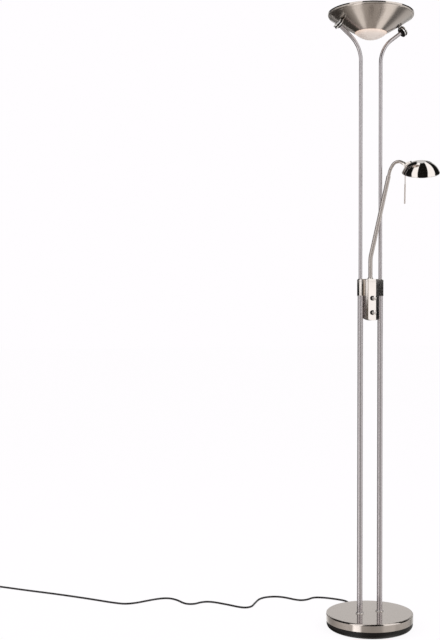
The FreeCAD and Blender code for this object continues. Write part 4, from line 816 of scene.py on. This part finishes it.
# The shade leans towards the camera; its rim's place follows from the tilt pivot's.
SHADE_ROLL = math.radians(24.7)
PIVOT_OUT, PIVOT_UP = 50.0, 21.0
tilt = next(joint for joint in frame["joints"] if joint["name"] == "head_tilt")
shade_up = Vector((0, 0, math.cos(SHADE_ROLL))) + towards_camera * math.sin(SHADE_ROLL)
shade_out = shade_up.cross(Vector(tilt["axis"])).normalized()
rim_centre = Vector(tilt["pos_m"]) * 1000 + shade_out * PIVOT_OUT - shade_up * PIVOT_UP
in_shade = standing_on(rim_centre, shade_up, shade_out)

# Bright nickel again. Outside, the dome mirrors the walls down to its rim, as a steeper
# edge would, and its flat top mirrors the light overhead. LOWEST_Z is how little its
# mirror may face up, and FLAT_Z where the flat begins above the rim, in metres.
LOWEST_Z, FLAT_Z = 0.16, 0.03197
dome_nickel, tree, shader = material("bright_nickel_dome", "dbd4cf", metallic=1.0, roughness=0.05)
roughened(tree, shader, speckle(tree, object_place(tree), 18), 0.03, 0.08)
facing = add(tree, "ShaderNodeNewGeometry").outputs["Normal"]
facing_here = add(tree, "ShaderNodeVectorTransform", {0: facing}, vector_type="NORMAL", convert_from="WORLD",
                  convert_to="OBJECT").outputs[0]
from_rim = add(tree, "ShaderNodeVectorMath", {0: object_place(tree), 1: rim_centre / 1000},
               operation="SUBTRACT").outputs[0]
outward = add(tree, "ShaderNodeVectorMath", {0: facing_here, 1: from_rim},
              operation="DOT_PRODUCT").outputs["Value"]
tall = add(tree, "ShaderNodeVectorMath", {0: from_rim, 1: shade_up},
           operation="DOT_PRODUCT").outputs["Value"]
parts = add(tree, "ShaderNodeSeparateXYZ", {0: facing}).outputs
raised = add(tree, "ShaderNodeMath", {0: parts["Z"], 1: LOWEST_Z}, operation="MAXIMUM").outputs[0]
raised = add(tree, "ShaderNodeCombineXYZ", {"X": parts["X"], "Y": parts["Y"], "Z": raised}).outputs[0]
raised = add(tree, "ShaderNodeVectorMath", {0: raised}, operation="NORMALIZE").outputs[0]
outside = passing(tree, outward, 0.0, 0.005)
on_flat = passing(tree, tall, FLAT_Z, FLAT_Z + 0.00001)
mirrored = add(tree, "ShaderNodeMix", {0: outside, 4: facing, 5: raised}, data_type="VECTOR").outputs[1]
mirrored = add(tree, "ShaderNodeMix", {0: on_flat, 4: mirrored, 5: (0.0, 0.0, 1.0)},
               data_type="VECTOR").outputs[1]
tree.links.new(mirrored, shader.inputs["Normal"])
dressed(dome_nickel, "reading_shade")
dressed(steatite, "reading_lampholder")

# Pale satin wire: reads lighter than the rest because it is so thin.
pale_rod, tree, shader = material("satin_plated_wire", "e6d9d2", metallic=1.0, roughness=0.34)
long_grain(tree, shader, 0.28, 0.40, ("e0d3cc", "ebe0da"), grain_mm=0.6)
dressed(pale_rod, "handle_rod", "handle_grip")

# Fused quartz, drawn thin: clear, with bright edges.
quartz, tree, shader = material("fused_quartz", "f7f8f8", roughness=0.02, Transmission_Weight=1.0, IOR=1.45)
roughened(tree, shader, speckle(tree, object_place(tree), 20), 0.0, 0.05)

# Coiled tungsten, dark grey: it is cold, because both lamps are off.
tungsten, tree, shader = material("coiled_tungsten", "6d6863", metallic=1.0, roughness=0.4)
roughened(tree, shader, speckle(tree, object_place(tree), 2), 0.3, 0.5)


def wound_wire(rule, size):
    """A filament: wire wound in a close helix along Z."""
    helix = add(rule, "GeometryNodeCurveSpiral", {
        "Resolution": 10, "Rotations": size["Turns"], "Start Radius": size["Radius"],
        "End Radius": size["Radius"], "Height": size["Length"]}).outputs[0]
    wire = add(rule, "GeometryNodeCurvePrimitiveCircle", {"Resolution": 5,
                                                          "Radius": size["Wire"]}).outputs[0]
    return add(rule, "GeometryNodeCurveToMesh", {"Curve": helix, "Profile Curve": wire,
                                                 "Fill Caps": True}).outputs[0]


def strand(name, points_mm, radius_mm, finish, place):
    """A short lead as a mesh, through points in mm in the frame that place gives."""
    route = [place @ (Vector(point) / 1000) for point in points_mm]
    line = spline_curve(name + "_line", route, radius_mm / 1000)
    line.data.resolution_u = 4
    line.data.bevel_resolution = 2
    seen = line.evaluated_get(bpy.context.evaluated_depsgraph_get())
    mesh = bpy.data.meshes.new_from_object(seen)
    bpy.data.objects.remove(line)
    mesh.name = name
    mesh.materials.clear()
    mesh.materials.append(finish)
    smoothed(mesh, 60)
    return linked(name, mesh)


CAPSULE_R, CAPSULE_WALL = 6.2, 0.9
CAPSULE_ROUND_Z = 34.3
CAPSULE_START_X, CAPSULE_Z = -17.7, 12.5
ROUND_STEP = 15


def round_end(radius, degrees):
    """Points of the capsule's round end, at these angles above its side."""
    turns = [math.radians(degree) for degree in degrees]
    return [(radius * math.cos(turn), CAPSULE_ROUND_Z + radius * math.sin(turn)) for turn in turns]


inner_r = CAPSULE_R - CAPSULE_WALL
capsule_profile = [(0, 0), (3.4, 0), (4.2, 0.6), (4.2, 6.6), (5.2, 8.2), (CAPSULE_R, 10.4),
                   (CAPSULE_R, CAPSULE_ROUND_Z)]
capsule_profile += round_end(CAPSULE_R, range(ROUND_STEP, 90, ROUND_STEP))
capsule_profile += [(0, CAPSULE_ROUND_Z + CAPSULE_R), (0, CAPSULE_ROUND_Z + inner_r)]
capsule_profile += round_end(inner_r, range(90 - ROUND_STEP, 0, -ROUND_STEP))
capsule_profile += [(inner_r, CAPSULE_ROUND_Z), (inner_r, 11.0), (4.0, 9.0), (0, 8.6)]
along_x = standing_on((CAPSULE_START_X, 0, CAPSULE_Z), (1, 0, 0), (0, 1, 0))
capsule = lathe("reading_capsule_glass", capsule_profile, 40, in_shade @ along_x)
capsule.data.materials.append(quartz)
fit(capsule, "lamp_glass", "reading_head", "reading_bulb")
FILAMENT_FROM = 0.016
filament = grown("reading_filament", wound_wire, {
    "Turns": 16, "Radius": 0.0011, "Length": 0.014, "Wire": 0.00022}, tungsten)
filament.data.transform(in_shade @ along_x @ Matrix.Translation((0, 0, FILAMENT_FROM)))
fit(filament, "lamp_glass", "reading_head")
SIDES = ((-1, "near"), (1, "far"))
for side, name in SIDES:
    post = strand("reading_filament_post_" + name, [
        (side * 2.2, 0, 9.5), (side * 2.2, 0, 15), (side * 1.6, 0, 23),
        (side * 0.9, 0, 23 + side * 6.5)], 0.25, tungsten, in_shade @ along_x)
    fit(post, "lamp_glass", "reading_head")

# Glass-fibre sleeves over the leads: off-white, woven finely, a little stiff.
sleeving, tree, shader = material("woven_glass_sleeving", "dcd6c8", roughness=0.7)
place = object_place(tree)
varied(tree, shader, speckle(tree, place, 0.8), "cfc8b8", "e8e3d7")
bumped(tree, shader, speckle(tree, place, 0.5), 0.05, 0.6)
for side, name in SIDES:
    sleeve = strand("reading_lead_" + name, [
        (-33.0, side * 0.7, 19.4), (-31.6, side * 0.9, 17.6), (-31.6, side * 4.0, 14.0),
        (-31.4, side * 7.8, 10.5), (-27.5, side * 8.6, 10.5), (-24.6, side * 8.0, 12.0),
        (-23.8, side * 6.4, 12.5)], 0.75, sleeving, in_shade)
    fit(sleeve, "white_ceramic", "reading_head")


# ---------------------------------------------------- the fittings at the bowl
# Turned drums on the poles' raised ends, each a body and a cap, polished and
# plated. The neck and the groove between the two rims are painted black, a painted
# shade, and the rims are near white and partly matt, a painted highlight. A
# nipple runs from each through the bowl's wall, and a nut inside holds it.

# Where the right pole's middle line ends, out from the lamp's middle and up, in
# metres, and where the neck's painted shade ends and the groove lies past that place.
POLE_RISE = math.radians(38.0)
POLE_END = (0.10137, 1.75510)
NECK_TO = 0.0002
GROOVE_FROM, GROOVE_TO = 0.0033, 0.0076
rims_and_painted_groove_shade, tree, shader = material("nickel_and_painted_groove_shade", "dbd4cf", metallic=1.0, roughness=0.06)
parts = add(tree, "ShaderNodeSeparateXYZ", {0: object_place(tree)}).outputs
out = add(tree, "ShaderNodeMath", {0: parts["X"]}, operation="ABSOLUTE").outputs[0]
out = times(tree, out, math.cos(POLE_RISE))
up = times(tree, parts["Z"], math.sin(POLE_RISE))
pole_end = POLE_END[0] * math.cos(POLE_RISE) + POLE_END[1] * math.sin(POLE_RISE)
reach = add(tree, "ShaderNodeMath", {0: out, 1: up}, operation="ADD").outputs[0]
reach = add(tree, "ShaderNodeMath", {0: reach, 1: pole_end}, operation="SUBTRACT").outputs[0]
# Painted shade: black on the neck and in the groove, with near-white nickel on the rims between.
neck = passing(tree, reach, NECK_TO + 0.0002, NECK_TO)
groove = within(tree, reach, GROOVE_FROM, GROOVE_TO, 0.0001)
black = add(tree, "ShaderNodeMath", {0: neck, 1: groove}, operation="MAXIMUM").outputs[0]
varied(tree, shader, black, "eeebe8", "0d0b0b")
tree.links.new(ranged(tree, black, 0.75, 0.0), shader.inputs["Metallic"])
roughened(tree, shader, black, 0.05, 0.3)
dressed(rims_and_painted_groove_shade, "end_fitting_bodies", "end_fitting_caps")


# -------------------------------------------------------------------- the bowl
# Spun steel bowl, 252 mm across, brushed as it turned and nickel plated, with a
# straight bright lip. An opal glass dish sits in the hole at its bottom.
spun_nickel, tree, shader = material("spun_brushed_nickel", "c4bab2", metallic=1.0, roughness=0.26,
                                     Anisotropic=0.7, Anisotropic_Rotation=0.25)
brushed_round(tree, shader)
rings = turned_grain(tree, shader, ring_mm=1.4, depth_mm=0.006)
varied(tree, shader, rings, "c0b6ae", "cec5be")
# The lip is left brighter than the side.
LIP_Z, LIP_ROUGHNESS = 1.7945, 0.07
lip = passing(tree, ring_place(tree)[1], LIP_Z, LIP_Z + 0.001)
side_roughness = ranged(tree, rings, 0.16, 0.26)
roughness = add(tree, "ShaderNodeMix", {0: lip, 2: side_roughness, 3: LIP_ROUGHNESS},
                data_type="FLOAT").outputs[0]
tree.links.new(roughness, shader.inputs["Roughness"])
dressed(spun_nickel, "uplight_bowl")

# Opal glass, satin outside: a white body with a painted glow, faint at the bottom
# and brightest and warmest at the top of its curve.
GLASS_TOP, GLASS_BOTTOM = 1.7475, 1.7235
opal, tree, shader = material("opal_glass_dish", "ece0d8", roughness=0.32, Coat_Weight=0.25)
share = passing(tree, ring_place(tree)[1], GLASS_BOTTOM, GLASS_TOP)
milk = speckle(tree, object_place(tree), 22)
varied(tree, shader, milk, "e9dcd4", "f1e7e0")
# Painted glow: emission that grows warmer and brighter up the dish.
painted_glow = colour_ramp(tree, share, [(0.0, linear("2a211d")), (0.45, linear("4a3a30")),
                                   (0.8, linear("8a6a52")), (1.0, linear("a88062"))])
tree.links.new(painted_glow, shader.inputs["Emission Color"])
shader.inputs["Emission Strength"].default_value = 1.0
bumped(tree, shader, milk, 0.1, 0.2)
dressed(opal, "bowl_glass")


# ------------------------------------------------------------- the uplight lamp
# A double-ended tube lamp 118 mm long between two ceramic holders on a bent
# steel strip. Its leads, which aren't made here, come in through the nipples.
dressed(steatite, "uplight_lampholders")
low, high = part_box("uplight_bulb")
lamp_z = (low.z + high.z) / 2 * 1000
along_lamp = standing_on((0, 0, lamp_z), (1, 0, 0), (0, 1, 0))
tube_profile = [(0, -51), (3.2, -51), (3.2, -49), (4.4, -47.4), (5, -45), (5, 45), (4.4, 47.4), (3.2, 49),
                (3.2, 51), (0, 51), (0, 46.5), (3.6, 45.5), (4.2, 43.5), (4.2, -43.5), (3.6, -45.5),
                (0, -46.5)]
tube = lathe("uplight_tube_glass", tube_profile, 40, along_lamp)
tube.data.materials.append(quartz)
fit(tube, "lamp_glass", "stand", "uplight_bulb")
cap_profile = [(0, 51.1), (3.9, 51.1), (3.9, 61.2), (3.6, 61.5), (1.6, 61.5), (1.6, 63.3), (1.3, 63.6),
               (0, 63.6)]
for turn_deg, name in ((0, "right"), (180, "left")):
    end_place = along_lamp @ Matrix.Rotation(math.radians(turn_deg), 4, "X")
    end = lathe("uplight_lamp_cap_" + name, cap_profile, 32, end_place)
    end.data.materials.append(steatite)
    fit(end, "white_ceramic", "stand")
FILAMENT_LENGTH = 0.078
filament = grown("uplight_filament", wound_wire, {
    "Turns": 70, "Radius": 0.0010, "Length": FILAMENT_LENGTH, "Wire": 0.0002}, tungsten)
filament.data.transform(along_lamp @ Matrix.Translation((0, 0, -FILAMENT_LENGTH / 2)))
fit(filament, "lamp_glass", "stand")


def support_rings(rule, size):
    """Small wire rings that hold a filament in the middle of its tube."""
    row = add(rule, "GeometryNodeMeshLine", {"Count": size["Rings"], "Offset": size["Pitch"]}).outputs[0]
    ring = add(rule, "GeometryNodeCurvePrimitiveCircle", {"Resolution": 20,
                                                          "Radius": size["Radius"]}).outputs[0]
    wire = add(rule, "GeometryNodeCurvePrimitiveCircle", {"Resolution": 5,
                                                          "Radius": size["Wire"]}).outputs[0]
    hoop = add(rule, "GeometryNodeCurveToMesh", {"Curve": ring, "Profile Curve": wire}).outputs[0]
    return add(rule, "GeometryNodeInstanceOnPoints", {"Points": row, "Instance": hoop}).outputs[0]


HOOPS, HOOP_PITCH = 5, 0.0165
hoops = grown("uplight_filament_supports", support_rings, {
    "Rings": HOOPS, "Pitch": (0.0, 0.0, HOOP_PITCH), "Radius": 0.0037, "Wire": 0.00018}, tungsten)
hoops.data.transform(along_lamp @ Matrix.Translation((0, 0, -HOOP_PITCH * (HOOPS - 1) / 2)))
fit(hoops, "lamp_glass", "stand")
